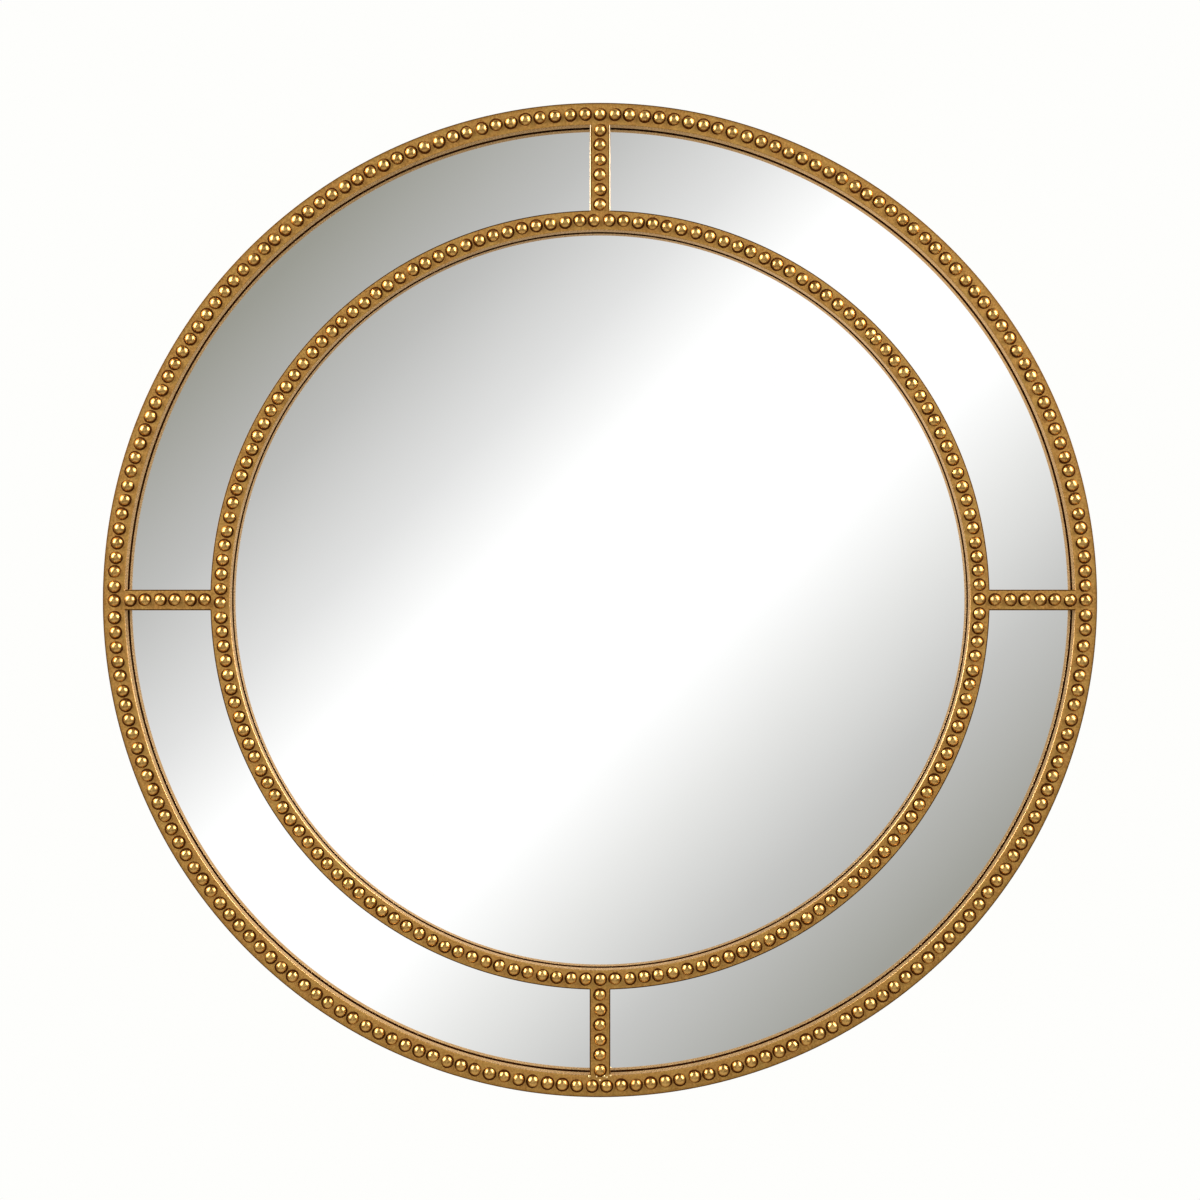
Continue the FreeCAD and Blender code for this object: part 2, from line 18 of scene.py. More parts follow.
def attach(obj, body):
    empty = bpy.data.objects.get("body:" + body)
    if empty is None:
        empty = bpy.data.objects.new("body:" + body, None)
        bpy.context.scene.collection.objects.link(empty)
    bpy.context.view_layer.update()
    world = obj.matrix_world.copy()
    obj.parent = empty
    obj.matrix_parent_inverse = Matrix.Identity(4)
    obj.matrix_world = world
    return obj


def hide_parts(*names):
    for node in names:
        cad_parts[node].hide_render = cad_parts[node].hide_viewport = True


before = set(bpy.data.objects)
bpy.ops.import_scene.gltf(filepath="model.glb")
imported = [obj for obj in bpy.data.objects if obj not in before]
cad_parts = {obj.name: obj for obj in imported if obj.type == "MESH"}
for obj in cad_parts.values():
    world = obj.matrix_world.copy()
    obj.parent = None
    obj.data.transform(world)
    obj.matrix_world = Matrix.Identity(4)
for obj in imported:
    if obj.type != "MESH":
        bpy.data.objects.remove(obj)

LOG = logging.getLogger("beaded_wall_mirror")
MM = 0.001

Colour = tuple[float, float, float]
Point2 = tuple[float, float]
Point3 = tuple[float, float, float]
Range = tuple[float, float]
Socket = bpy.types.NodeSocket


class Slot(Enum):
    """The record's material slots."""

    GILT = "gilt_frame"
    BEAD = "gilt_bead"
    MIRROR = "mirror_glass"
    BOARD = "back_board"
    TAPE = "foam_tape"
    ZINC = "zinc_steel"
    RUBBER = "rubber"


class Body(Enum):
    """The bodies of the parts that move on their own."""

    MIRROR = "mirror"
    LEFT_LOOP = "left_loop"
    RIGHT_LOOP = "right_loop"


class Side(Enum):
    """The sides that a spoke points to, as clock angles in degrees."""

    UPPER = 0.0
    RIGHT = 90.0
    LOWER = 180.0
    LEFT = 270.0


@dataclass(frozen=True)
class Layout:
    """Radii and depths that the pieces share; the silvering's is where it seems to lie in its glass."""

    outer_radius: float = 406.4 * MM
    outer_bore: float = 388.4 * MM
    outer_rebate: float = 393.4 * MM
    inner_radius: float = 318.5 * MM
    inner_bore: float = 302.5 * MM
    inner_stem: float = 314.5 * MM
    inner_stem_bore: float = 306.5 * MM
    spoke_half_width: float = 8.45 * MM
    spoke_stem_half_width: float = 4.45 * MM
    joint_clearance: float = 0.1 * MM
    face: float = 22.8 * MM
    lip_back: float = 14.6 * MM
    silvering: float = 11.65 * MM
    glass_back: float = 10.6 * MM
    board_front: float = 9.0 * MM
    board_radius: float = 402.0 * MM
    glass_gap: float = 0.8 * MM


LAYOUT = Layout()


def on_clock(radius: float, angle: float, depth: float = 0.0) -> Vector:
    """The point at a clock angle in degrees on a circle about the mirror's axis, at a depth."""
    turn = math.radians(angle)
    return Vector((radius * math.sin(turn), -depth, radius * math.cos(turn)))


# Nodes


class Wiring:
    """A tree of nodes, with short ways to add nodes and to join them."""

    def __init__(self, tree: bpy.types.NodeTree) -> None:
        """Takes hold of a tree's nodes and links."""
        self.nodes = tree.nodes
        self.links = tree.links

    def feed(self, socket: Socket, value: object) -> None:
        """Links a socket into an input, or sets the input to a plain value; a colour needs no alpha."""
        if isinstance(value, bpy.types.NodeSocket):
            self.links.new(value, socket)
        else:
            socket.default_value = (*value, 1.0) if socket.type == "RGBA" else value

    def node(self, kind: str, **values: object) -> bpy.types.Node:
        """Adds a node.

        Args:
            kind: the node's type.
            values: a name in lower case is one of the node's own settings. Any other is an input, with
                underscores for spaces, and takes a socket or a plain value.

        Returns:
            The node.
        """
        made = self.nodes.new(kind)
        for name in filter(str.islower, values):
            setattr(made, name, values[name])
        for name, value in values.items():
            if not name.islower():
                self.feed(made.inputs[name.replace("_", " ")], value)
        return made

    def give(self, kind: str, output: int | str = 0, **values: object) -> Socket:
        """Adds a node and returns one of its outputs, the first unless another is named."""
        return self.node(kind, **values).outputs[output]

    def maths(self, operation: str, *terms: object, clamp: bool = False) -> Socket:
        """One step of arithmetic on sockets or numbers.

        Args:
            operation: what is done.
            terms: the sockets or numbers, in order.
            clamp: whether the result is held between 0 and 1.

        Returns:
            The result.
        """
        node = self.node("ShaderNodeMath", operation=operation, use_clamp=clamp)
        for socket, term in zip(node.inputs, terms):
            self.feed(socket, term)
        return node.outputs[0]

    def vector_maths(self, operation: str, *terms: object, output: str = "Vector") -> Socket:
        """One step of arithmetic on vectors.

        Args:
            operation: what is done.
            terms: the sockets or plain vectors, in order.
            output: the output that carries the result.

        Returns:
            The result.
        """
        node = self.node("ShaderNodeVectorMath", operation=operation)
        for socket, term in zip(node.inputs, terms):
            self.feed(socket, term)
        return node.outputs[output]

    def split(self, vector: Socket) -> tuple[Socket, Socket, Socket]:
        """A vector's x, y and z."""
        return tuple(self.node("ShaderNodeSeparateXYZ", Vector=vector).outputs)

    def mapped(self, value: Socket, source: Range, target: Range = (0.0, 1.0), soft: bool = False) -> Socket:
        """Maps one range of a value onto another.

        Args:
            value: the value.
            source: where the range starts and ends.
            target: what its start and its end become.
            soft: whether it eases in and out.

        Returns:
            The mapped value, held at the target's ends beyond the range.
        """
        return self.give(
            "ShaderNodeMapRange",
            interpolation_type="SMOOTHSTEP" if soft else "LINEAR",
            Value=value,
            From_Min=source[0],
            From_Max=source[1],
            To_Min=target[0],
            To_Max=target[1],
        )

    def mix(self, share: Socket, first: Socket | Colour, second: Socket | Colour) -> Socket:
        """Two colours mixed by a share."""
        return self.give("ShaderNodeMix", "Result", data_type="RGBA", Factor=share, A=first, B=second)

    def ramp(self, value: Socket, stops: tuple[tuple[float, Colour], ...]) -> Socket:
        """A colour that goes through several stops.

        Args:
            value: where along the stops the colour is taken.
            stops: the stops in order, each a place from 0 to 1 and a colour.

        Returns:
            The colour.
        """
        node = self.node("ShaderNodeValToRGB", Fac=value)
        elements = node.color_ramp.elements
        while len(elements) < len(stops):
            elements.new(0.5)
        for element, (place, colour) in zip(elements, stops):
            element.position = place
            element.color = (*colour, 1.0)
        return node.outputs["Color"]


# Finishes


@dataclass(frozen=True)
class Grain:
    """A noise over a piece.

    Attributes:
        scale: how many features there are in a metre.
        detail: how many finer layers it has.
        roughness: how strong the finer layers are.
    """

    scale: float
    detail: float = 4.0
    roughness: float = 0.55


@dataclass(frozen=True)
class Relief:
    """How a noise roughens a surface: its height in metres, and how much of it is used."""

    height: float
    strength: float


class Graph(Wiring):
    """A material's nodes, round one Principled shader."""

    usual: Range = (0.3, 0.7)

    def __init__(self, name: str) -> None:
        """Starts a material.

        Args:
            name: the material's name.
        """
        self.material = bpy.data.materials.new(name)
        self.material.use_nodes = True
        super().__init__(self.material.node_tree)
        self.nodes.clear()
        self.shader = self.node("ShaderNodeBsdfPrincipled")
        self.output = self.node("ShaderNodeOutputMaterial", Surface=self.shader.outputs["BSDF"])
        self.place = self.give("ShaderNodeTexCoord", "Object")

    def shade(self, **values: object) -> None:
        """Fills the shader's inputs, each named with underscores for spaces."""
        for name, value in values.items():
            self.feed(self.shader.inputs[name.replace("_", " ")], value)

    def noise(self, grain: Grain) -> Socket:
        """A noise over the piece, about 0.5 on average, which mostly keeps to the usual range."""
        return self.give(
            "ShaderNodeTexNoise",
            "Fac",
            Vector=self.place,
            Scale=grain.scale,
            Detail=grain.detail,
            Roughness=grain.roughness,
        )

    def spread(self, noise: Socket, target: Range) -> Socket:
        """Maps a noise's usual range onto another."""
        return self.mapped(noise, self.usual, target)

    def between(self, noise: Socket, low: Colour, high: Colour) -> Socket:
        """A colour that goes from one to another over a noise's usual range."""
        return self.ramp(noise, tuple(zip(self.usual, (low, high))))

    def depth_share(self, shallow: float, deep: float) -> Socket:
        """A share that goes softly from 0 to 1 between two depths in front of the board."""
        return self.mapped(self.split(self.place)[1], (-shallow, -deep), soft=True)

    def radius_share(self, start: float, end: float, most: float) -> Socket:
        """A share that goes from 0 to most between two distances from the mirror's axis."""
        flat = self.vector_maths("MULTIPLY", self.place, (1.0, 0.0, 1.0))
        return self.mapped(self.vector_maths("LENGTH", flat, output="Value"), (start, end), (0.0, most))

    def roughen(self, noise: Socket, relief: Relief) -> None:
        """Tilts the shader's normal as a noise's relief would."""
        self.shade(Normal=self.give(
            "ShaderNodeBump", "Normal", Height=noise, Distance=relief.height, Strength=relief.strength
        ))


@dataclass(frozen=True)
class Finish:
    """A finish: its material's name and how the material is made."""

    name: str

    def dress(self, graph: Graph) -> None:
        """Adds the finish's nodes to a new material's graph."""
        raise NotImplementedError

    def material(self) -> bpy.types.Material:
        """The finish's material, made the first time that it is asked for."""
        known = bpy.data.materials.get(self.name)
        if known:
            return known
        graph = Graph(self.name)
        self.dress(graph)
        return graph.material


@dataclass(frozen=True)
class SatinGilt(Finish):
    """Antique gold over a warm ground, worked to a satin, with a sandy grain and painted shade that darkens
    it towards the rim.
    """

    name: str = "satin_antique_gold"
    light: Colour = (0.70, 0.39, 0.115)
    dark: Colour = (0.25, 0.108, 0.019)
    cloud_light: Colour = (0.50, 0.30, 0.075)
    cloud_dark: Colour = (0.40, 0.172, 0.038)
    rough: Range = (0.32, 0.46)
    metal: float = 0.7
    gloss: float = 0.15
    gloss_tint: Colour = (0.84, 0.64, 0.42)
    grain: Grain = Grain(620.0, 3.0, 0.6)
    clouds: Grain = Grain(85.0, 2.0)
    cloud_share: Range = (0.35, 0.55)
    relief: Relief = Relief(0.06 * MM, 0.6)
    # Painted shade towards the outer rim: its colour, its width and its strongest share.
    rim_shade: Colour = (0.19, 0.085, 0.015)
    rim_shade_width: float = 3.0 * MM
    rim_shade_share: float = 0.6

    def dress(self, graph: Graph) -> None:
        """Grain in colour, roughness and relief, over slow clouds of tone, darkened towards the outer rim as
        painted shade.

        Args:
            graph: the new material's graph.
        """
        grain = graph.noise(self.grain)
        clouds = graph.noise(self.clouds)
        mottled = graph.mix(
            graph.spread(clouds, self.cloud_share),
            graph.between(grain, self.dark, self.light),
            graph.between(clouds, self.cloud_dark, self.cloud_light),
        )
        # Painted shade: the face darkens over the last millimetres before the outer rim.
        rim = LAYOUT.outer_radius
        by_rim_shade = graph.radius_share(rim - self.rim_shade_width, rim, self.rim_shade_share)
        graph.shade(
            Metallic=self.metal,
            Specular_IOR_Level=self.gloss,
            Specular_Tint=self.gloss_tint,
            Base_Color=graph.mix(by_rim_shade, mottled, self.rim_shade),
            Roughness=graph.spread(grain, self.rough),
        )
        graph.roughen(grain, self.relief)


@dataclass(frozen=True)
class PolishedGold(Finish):
    """Polished antique gold, worn bright on the crown and darker low down, partly as patina and partly as
    painted shade at the foot.
    """

    name: str = "polished_antique_gold"
    bright: Colour = (0.71, 0.432, 0.140)
    worn: Colour = (0.57, 0.312, 0.086)
    low: Colour = (0.26, 0.10, 0.016)
    low_height: float = 0.2 * MM
    crown_height: float = 1.3 * MM
    gloss_tint: Colour = (0.80, 0.56, 0.30)
    tone: Grain = Grain(160.0, 2.0)
    rough: Range = (0.28, 0.39)
    dents: Grain = Grain(330.0, 2.0)
    relief: Relief = Relief(0.5 * MM, 0.6)

    def dress(self, graph: Graph) -> None:
        """Tone and polish that change a little over each bead, and a darker foot that is partly patina and
        partly painted shade.

        Args:
            graph: the new material's graph.
        """
        tone = graph.noise(self.tone)
        # Darker near the face: partly patina, partly painted shade at the bead's foot.
        up_bead = graph.depth_share(LAYOUT.face + self.low_height, LAYOUT.face + self.crown_height)
        graph.shade(
            Metallic=1.0,
            Specular_Tint=self.gloss_tint,
            Base_Color=graph.mix(up_bead, self.low, graph.between(tone, self.worn, self.bright)),
            Roughness=graph.spread(tone, self.rough),
        )
        graph.roughen(graph.noise(self.dents), self.relief)


@dataclass(frozen=True)
class Mottled(Finish):
    """A plain finish whose one mottle shows in its colour, its roughness and its relief."""

    light: Colour
    dark: Colour
    mottle: Grain
    rough: Range
    relief: Relief
    gloss: float = 0.5

    def dress(self, graph: Graph) -> None:
        """The mottle in colour, roughness and relief.

        Args:
            graph: the new material's graph.
        """
        mottle = graph.noise(self.mottle)
        graph.shade(
            Specular_IOR_Level=self.gloss,
            Base_Color=graph.between(mottle, self.dark, self.light),
            Roughness=graph.spread(mottle, self.rough),
        )
        graph.roughen(mottle, self.relief)


@dataclass(frozen=True)
class Silvering(Finish):
    """The mirror's silvering, as it looks through its clear glass."""

    name: str = "silvered_glass"
    clear: Colour = (0.955, 0.96, 0.955)
    faint: Colour = (0.945, 0.95, 0.945)
    film: Grain = Grain(9.0, 3.0)

    def dress(self, graph: Graph) -> None:
        """A perfect mirror whose silvering is very slightly uneven."""
        colour = graph.between(graph.noise(self.film), self.faint, self.clear)
        graph.shade(Metallic=1.0, Roughness=0.0, Base_Color=colour)


@dataclass(frozen=True)
class Fibreboard(Finish):
    """Plain medium fibreboard, with pressed fibres and the odd darker fleck."""

    name: str = "plain_fibreboard"
    light: Colour = (0.46, 0.32, 0.19)
    dark: Colour = (0.33, 0.215, 0.12)
    fleck: Colour = (0.20, 0.12, 0.06)
    fibres: Grain = Grain(1100.0, 6.0, 0.7)
    clouds: Grain = Grain(14.0, 4.0)
    cloud_share: Range = (0.25, 0.75)
    flecks: Grain = Grain(430.0, 2.0)
    fleck_range: Range = (0.66, 0.72)
    rough: Range = (0.62, 0.85)
    relief: Relief = Relief(0.08 * MM, 0.7)

    def dress(self, graph: Graph) -> None:
        """Fibres in colour and relief, slow clouds, and flecks.

        Args:
            graph: the new material's graph.
        """
        fibres = graph.noise(self.fibres)
        by_cloud = graph.spread(graph.noise(self.clouds), self.cloud_share)
        ground = graph.mix(by_cloud, graph.between(fibres, self.dark, self.light), self.light)
        by_fleck = graph.mapped(graph.noise(self.flecks), self.fleck_range)
        graph.shade(
            Base_Color=graph.mix(by_fleck, ground, self.fleck),
            Roughness=graph.spread(fibres, self.rough),
        )
        graph.roughen(fibres, self.relief)


@dataclass(frozen=True)
class Zinc(Finish):
    """Bright zinc plating over steel."""

    name: str = "zinc_plated_steel"
    light: Colour = (0.66, 0.67, 0.68)
    dark: Colour = (0.50, 0.51, 0.53)
    clouds: Grain = Grain(240.0, 5.0, 0.65)
    rough: Range = (0.22, 0.42)
    scratches: Grain = Grain(1500.0, 2.0)
    relief: Relief = Relief(0.01 * MM, 0.5)

    def dress(self, graph: Graph) -> None:
        """A cool grey metal with clouded plating and a very fine relief.

        Args:
            graph: the new material's graph.
        """
        clouds = graph.noise(self.clouds)
        graph.shade(
            Metallic=1.0,
            Base_Color=graph.between(clouds, self.dark, self.light),
            Roughness=graph.spread(clouds, self.rough),
        )
        graph.roughen(graph.noise(self.scratches), self.relief)


GILT = SatinGilt()
# Near-black gold that paints shade on the rings' rims and outer walls and along the spokes' edges.
PAINTED_SHADE_GILT = SatinGilt(
    "browned_edge_gold",
    light=(0.12, 0.055, 0.011),
    dark=(0.05, 0.020, 0.003),
    cloud_light=(0.10, 0.042, 0.008),
    cloud_dark=(0.07, 0.029, 0.005),
)
# A lighter, paler copy of the gilt with a glossier finish for the bore walls: painted sheen.
PAINTED_SHEEN_BORE_GILT = SatinGilt(
    "rubbed_bore_gold",
    light=(0.76, 0.50, 0.24),
    dark=(0.50, 0.29, 0.12),
    cloud_light=(0.67, 0.42, 0.19),
    cloud_dark=(0.56, 0.33, 0.14),
    rough=(0.22, 0.32),
)
# A pale copy of the gilt for the upper spoke's flanks: painted highlight.
PAINTED_HIGHLIGHT_SPOKE_GILT = SatinGilt(
    "rubbed_spoke_gold",
    light=(0.48, 0.36, 0.22),
    dark=(0.37, 0.27, 0.16),
    cloud_light=(0.43, 0.32, 0.195),
    cloud_dark=(0.39, 0.285, 0.175),
    rough=(0.26, 0.36),
)
# A very light copy of the gilt for the filler lumps: painted glint.
PAINTED_GLINT_FILLER_GILT = SatinGilt(
    "gilded_filler",
    light=(1.0, 0.80, 0.40),
    dark=(0.88, 0.66, 0.30),
    cloud_light=(0.95, 0.74, 0.36),
    cloud_dark=(0.90, 0.68, 0.31),
    rough=(0.28, 0.38),
)
BEAD_GOLD = PolishedGold()
# Dark brown for the beads' collars: partly patina in the groove, partly painted contact shadow round each
# foot.
PATINA_AND_SHADOW = Mottled(
    "dark_brown_patina",
    light=(0.085, 0.023, 0.0015),
    dark=(0.036, 0.008, 0.0004),
    mottle=Grain(380.0, 3.0),
    rough=(0.6, 0.8),
    relief=Relief(0.05 * MM, 0.6),
    gloss=0.04,
)
# Near-black bare wood for the lip backs, rebates, stems and ring backs: painted shade of the gap under the
# lips.
SHADED_BARE_WOOD = Mottled(
    "dark_stained_wood",
    light=(0.070, 0.015, 0.0010),
    dark=(0.040, 0.008, 0.0004),
    mottle=Grain(300.0, 5.0),
    rough=(0.7, 0.9),
    relief=Relief(0.1 * MM, 0.5),
    gloss=0.05,
)
MIRROR = Silvering()
BOARD = Fibreboard()
ZINC = Zinc()
PEBBLED = Relief(0.08 * MM, 0.7)
BLACK_RUBBER = Mottled(
    "moulded_rubber", (0.035, 0.035, 0.036), (0.018, 0.018, 0.019), Grain(900.0, 3.0), (0.55, 0.8), PEBBLED
)
WHITE_FOAM = Mottled(
    "white_foam", (0.80, 0.80, 0.78), (0.68, 0.68, 0.66), Grain(1300.0, 3.0), (0.55, 0.8), PEBBLED
)


# Meshes


def show(name: str, data: bpy.types.ID) -> bpy.types.Object:
    """An object at the origin, linked into the scene.

    Args:
        name: the object's name.
        data: what it shows, such as a mesh or a lamp.

    Returns:
        The object.
    """
    made = bpy.data.objects.new(name, data)
    bpy.context.scene.collection.objects.link(made)
    return made


def new_piece(name: str, mesh: bpy.types.Mesh, finishes: list[Finish]) -> bpy.types.Object:
    """An object at the origin that shows a mesh.

    Args:
        name: the piece's name.
        mesh: its mesh, in the row frame.
        finishes: one for each material index that the mesh uses.

    Returns:
        The object, linked into the scene.
    """
    mesh.name = name
    for finish in finishes:
        mesh.materials.append(finish.material())
    return show(name, mesh)


def finish_mesh(name: str, shell: bmesh.types.BMesh, sharp_degrees: float = 40.0) -> bpy.types.Mesh:
    """Turns a bmesh into a mesh that is smooth but for its sharp edges.

    Args:
        name: the mesh's name.
        shell: a closed shell, or several; it is freed here.
        sharp_degrees: the angle between faces past which an edge stays sharp.

    Returns:
        The mesh, with its faces turned outwards.
    """
    bmesh.ops.recalc_face_normals(shell, faces=shell.faces)
    for face in shell.faces:
        face.smooth = True
    mesh = bpy.data.meshes.new(name)
    shell.to_mesh(mesh)
    shell.free()
    mesh.set_sharp_from_angle(angle=math.radians(sharp_degrees))
    return mesh


@dataclass(frozen=True)
class Corner:
    """A square corner of a section.

    Attributes:
        across: its distance from the section's axis or middle.
        depth: its depth in front of the board's rear face.
        ease: the radius that it is rounded to.
        finish: the index of the finish on the side that starts here.
        wrapped: whether that finish wraps over the whole corner.
        band: the index of the finish on a band where the rounding meets the gilded face, if any.
        band_steps: how many of the rounding's steps that band takes in.
    """

    across: float
    depth: float
    ease: float
    finish: int = 0
    wrapped: bool = False
    band: int | None = None
    band_steps: int = 1


@dataclass(frozen=True)
class Section:
    """A closed section with square corners, each eased to a small radius."""

    corners: tuple[Corner, ...]
    steps: int = 4
    margin: float = 0.25 * MM

    def finishes(self) -> list[int]:
        """The finish index of each side between two points of the outline.

        A corner's rounding has as many sides as steps, with a margin side before it and after it. Without a
        band, the finish changes halfway round, or before it where the finish wraps over the corner.
        """
        found: list[int] = []
        last = self.corners[-1].finish
        for corner in self.corners:
            beyond = self.steps + 1 - corner.band_steps
            if corner.band is not None and corner.finish == 0:
                found += [last] * beyond + [corner.band] * (corner.band_steps + 1) + [corner.finish]
            elif corner.band is not None:
                found += [corner.band] * (corner.band_steps + 1) + [corner.finish] * (beyond + 1)
            else:
                early = 0 if corner.wrapped else self.steps // 2 + 1
                found += [last] * early + [corner.finish] * (self.steps + 3 - early)
            last = corner.finish
        return found

    def outline(self, ease_shares: dict[int, float] | None = None) -> list[Point2]:
        """The outline's points, with a narrow margin beside each rounded corner so that flats shade flat.

        Args:
            ease_shares: for some corners by index, the share of their ease that is used.

        Returns:
            Points as (across, depth), going round once.
        """
        shares = ease_shares or {}
        spots = [Vector((corner.across, corner.depth)) for corner in self.corners]
        found: list[Point2] = []
        for place, corner in enumerate(self.corners):
            spot = spots[place]
            back = (spots[place - 1] - spot).normalized()
            on = (spots[(place + 1) % len(spots)] - spot).normalized()
            ease = corner.ease * shares.get(place, 1.0)
            centre = spot + ease * (back + on)
            found.append(tuple(spot + (ease + self.margin) * back))
            for step in range(self.steps + 1):
                turn = math.pi / 2 * step / self.steps
                found.append(tuple(centre - ease * (on * math.cos(turn) + back * math.sin(turn))))
            found.append(tuple(spot + (ease + self.margin) * on))
        return found


def tile(
    shell: bmesh.types.BMesh,
    rows: list[list[bmesh.types.BMVert]],
    finishes: list[int] | None = None,
    closed: bool = False,
    caps: tuple[bool, bool] = (True, True),
) -> None:
    """Joins rows of vertices, each a closed outline, with faces.

    Args:
        shell: the bmesh.
        rows: the rows, all of one length.
        finishes: the material index of each face along a row; none makes them all 0.
        closed: whether the last row joins the first.
        caps: if it doesn't, whether the first and the last row each get a cap.
    """
    indices = finishes or [0] * len(rows[0])
    for low, high in zip(rows, rows[1:] + rows[:1] if closed else rows[1:]):
        for place, index in enumerate(indices):
            following = (place + 1) % len(low)
            face = shell.faces.new((low[place], low[following], high[following], high[place]))
            face.material_index = index
    for row, capped in zip((rows[0], rows[-1]), caps):
        if capped and not closed:
            shell.faces.new(row).material_index = indices[0]


def slab(
    name: str, outline: list[Point2], front: float, back: float, ease: float = 0.0
) -> bpy.types.Mesh:
    """A flat plate of any outline, with its front and rear edges eased by a chamfer.

    Args:
        name: the mesh's name.
        outline: points as (x, z), going round once.
        front: the front face's depth.
        back: the rear face's depth.
        ease: the chamfer's width.

    Returns:
        The mesh.
    """
    shell = bmesh.new()
    centre = Vector((sum(x for x, _ in outline), sum(z for _, z in outline))) / len(outline)
    levels = [(0.0, front), (0.0, back)]
    if ease:
        levels = [(ease, front), (0.0, front - ease), (0.0, back + ease), (ease, back)]
    rows = []
    for inset, depth in levels:
        row = []
        for x, z in outline:
            out = Vector((x, z)) - centre
            spot = centre + out * (1 - inset / max(out.length, ease + MM))
            row.append(shell.verts.new((spot.x, -depth, spot.y)))
        rows.append(row)
    tile(shell, rows)
    return finish_mesh(name, shell, sharp_degrees=30.0)


def circle_outline(radius: float, steps: int, first: float = 0.0) -> list[Point2]:
    """Points round a circle about the origin, the first one a share of a step past the top."""
    turns = [2 * math.pi * (step + first) / steps for step in range(steps)]
    return [(radius * math.sin(turn), radius * math.cos(turn)) for turn in turns]


def round_edges(
    shell: bmesh.types.BMesh, edges: list[bmesh.types.BMEdge], radius: float, steps: int
) -> None:
    """Rounds some of a shell's edges."""
    bmesh.ops.bevel(
        shell, geom=edges, offset=radius, segments=steps, profile=0.5, affect="EDGES", clamp_overlap=True
    )


# Trees of nodes


class Tree(Wiring):
    """A tree of geometry nodes with named inputs, whose result becomes a plain mesh."""

    def __init__(self, name: str, inputs: dict[str, str]) -> None:
        """Starts a tree that takes and gives a geometry.

        Args:
            name: the tree's name.
            inputs: the kind of each of its other inputs, by name.
        """
        self.group = bpy.data.node_groups.new(name, "GeometryNodeTree")
        super().__init__(self.group)
        sockets = self.group.interface
        sockets.new_socket("Geometry", in_out="OUTPUT", socket_type="NodeSocketGeometry")
        for word, kind in {"Geometry": "Geometry", **inputs}.items():
            sockets.new_socket(word, in_out="INPUT", socket_type=f"NodeSocket{kind}")
        self.given = self.node("NodeGroupInput").outputs

    def vector(self, x: object = 0.0, y: object = 0.0, z: object = 0.0) -> Socket:
        """A vector made of three sockets or numbers."""
        return self.give("ShaderNodeCombineXYZ", X=x, Y=y, Z=z)

    def random(self, low: object, high: object, seed: int) -> Socket:
        """A random number for each point, the same on every run."""
        return self.give("FunctionNodeRandomValue", "Value", data_type="FLOAT", Min=low, Max=high, Seed=seed)

    def join(self, *geometries: Socket) -> Socket:
        """Several geometries as one.

        Args:
            geometries: the geometries, the last of which comes first.

        Returns:
            The joined geometry.
        """
        node = self.node("GeometryNodeJoinGeometry")
        for geometry in geometries:
            self.links.new(geometry, node.inputs["Geometry"])
        return node.outputs[0]

    def mark(self, geometry: Socket, name: str, kind: str, domain: str, value: object) -> Socket:
        """A geometry with a named attribute of some kind stored on a domain."""
        return self.give(
            "GeometryNodeStoreNamedAttribute",
            data_type=kind,
            domain=domain,
            Geometry=geometry,
            Name=name,
            Value=value,
        )

    def marked(self, name: str, kind: str) -> Socket:
        """The value of a named attribute of some kind."""
        return self.give("GeometryNodeInputNamedAttribute", "Attribute", data_type=kind, Name=name)

    def finish(self, geometry: Socket) -> None:
        """Sends a geometry out of the tree."""
        self.node("NodeGroupOutput", Geometry=geometry)

    def grow(self, name: str, values: dict[str, object], spots: list[Vector]) -> bpy.types.Object:
        """Runs the tree on loose points and keeps the result as a plain mesh.

        Args:
            name: the new piece's name.
            values: what each named input is set to.
            spots: the points that the tree starts from.

        Returns:
            The piece, without a modifier.
        """
        carrier = bpy.data.meshes.new(f"{name}_spots")
        carrier.from_pydata([tuple(spot) for spot in spots], [], [])
        piece = show(name, carrier)
        modifier = piece.modifiers.new("grow", "NODES")
        modifier.node_group = self.group
        for item in self.group.interface.items_tree:
            if item.in_out == "INPUT" and item.name in values:
                modifier[item.identifier] = values[item.name]
        graph = bpy.context.evaluated_depsgraph_get()
        piece.data = bpy.data.meshes.new_from_object(piece.evaluated_get(graph))
        piece.modifiers.clear()
        piece.data.name = name
        return piece


@dataclass(frozen=True)
class BeadKind:
    """The shape of the beads in one run, and how much they differ."""

    radius: float
    height: float
    collar_radius: float
    collar_height: float = 0.25 * MM
    size_spread: float = 0.02
    lean_spread: float = math.radians(4.0)

    def values(self) -> dict[str, float]:
        """The sizes, by the names that a bead tree knows them by."""
        return {
            "Bead Radius": self.radius,
            "Bead Height": self.height,
            "Collar Radius": self.collar_radius,
            "Collar Height": self.collar_height,
            "Size Spread": self.size_spread,
            "Lean Spread": self.lean_spread,
        }


@dataclass(frozen=True)
class Splice:
    """Where a run's first and last beads are cut flat to meet, as a clock angle, and the gap left there."""

    angle: float = 0.0
    gap: float = 0.0
    cut: bool = False

    def values(self) -> dict[str, float]:
        """The splice, by the names that a bead tree knows it by."""
        return {
            "Splice Angle": math.radians(self.angle),
            "Splice Gap": self.gap,
            "Spliced": float(self.cut),
        }


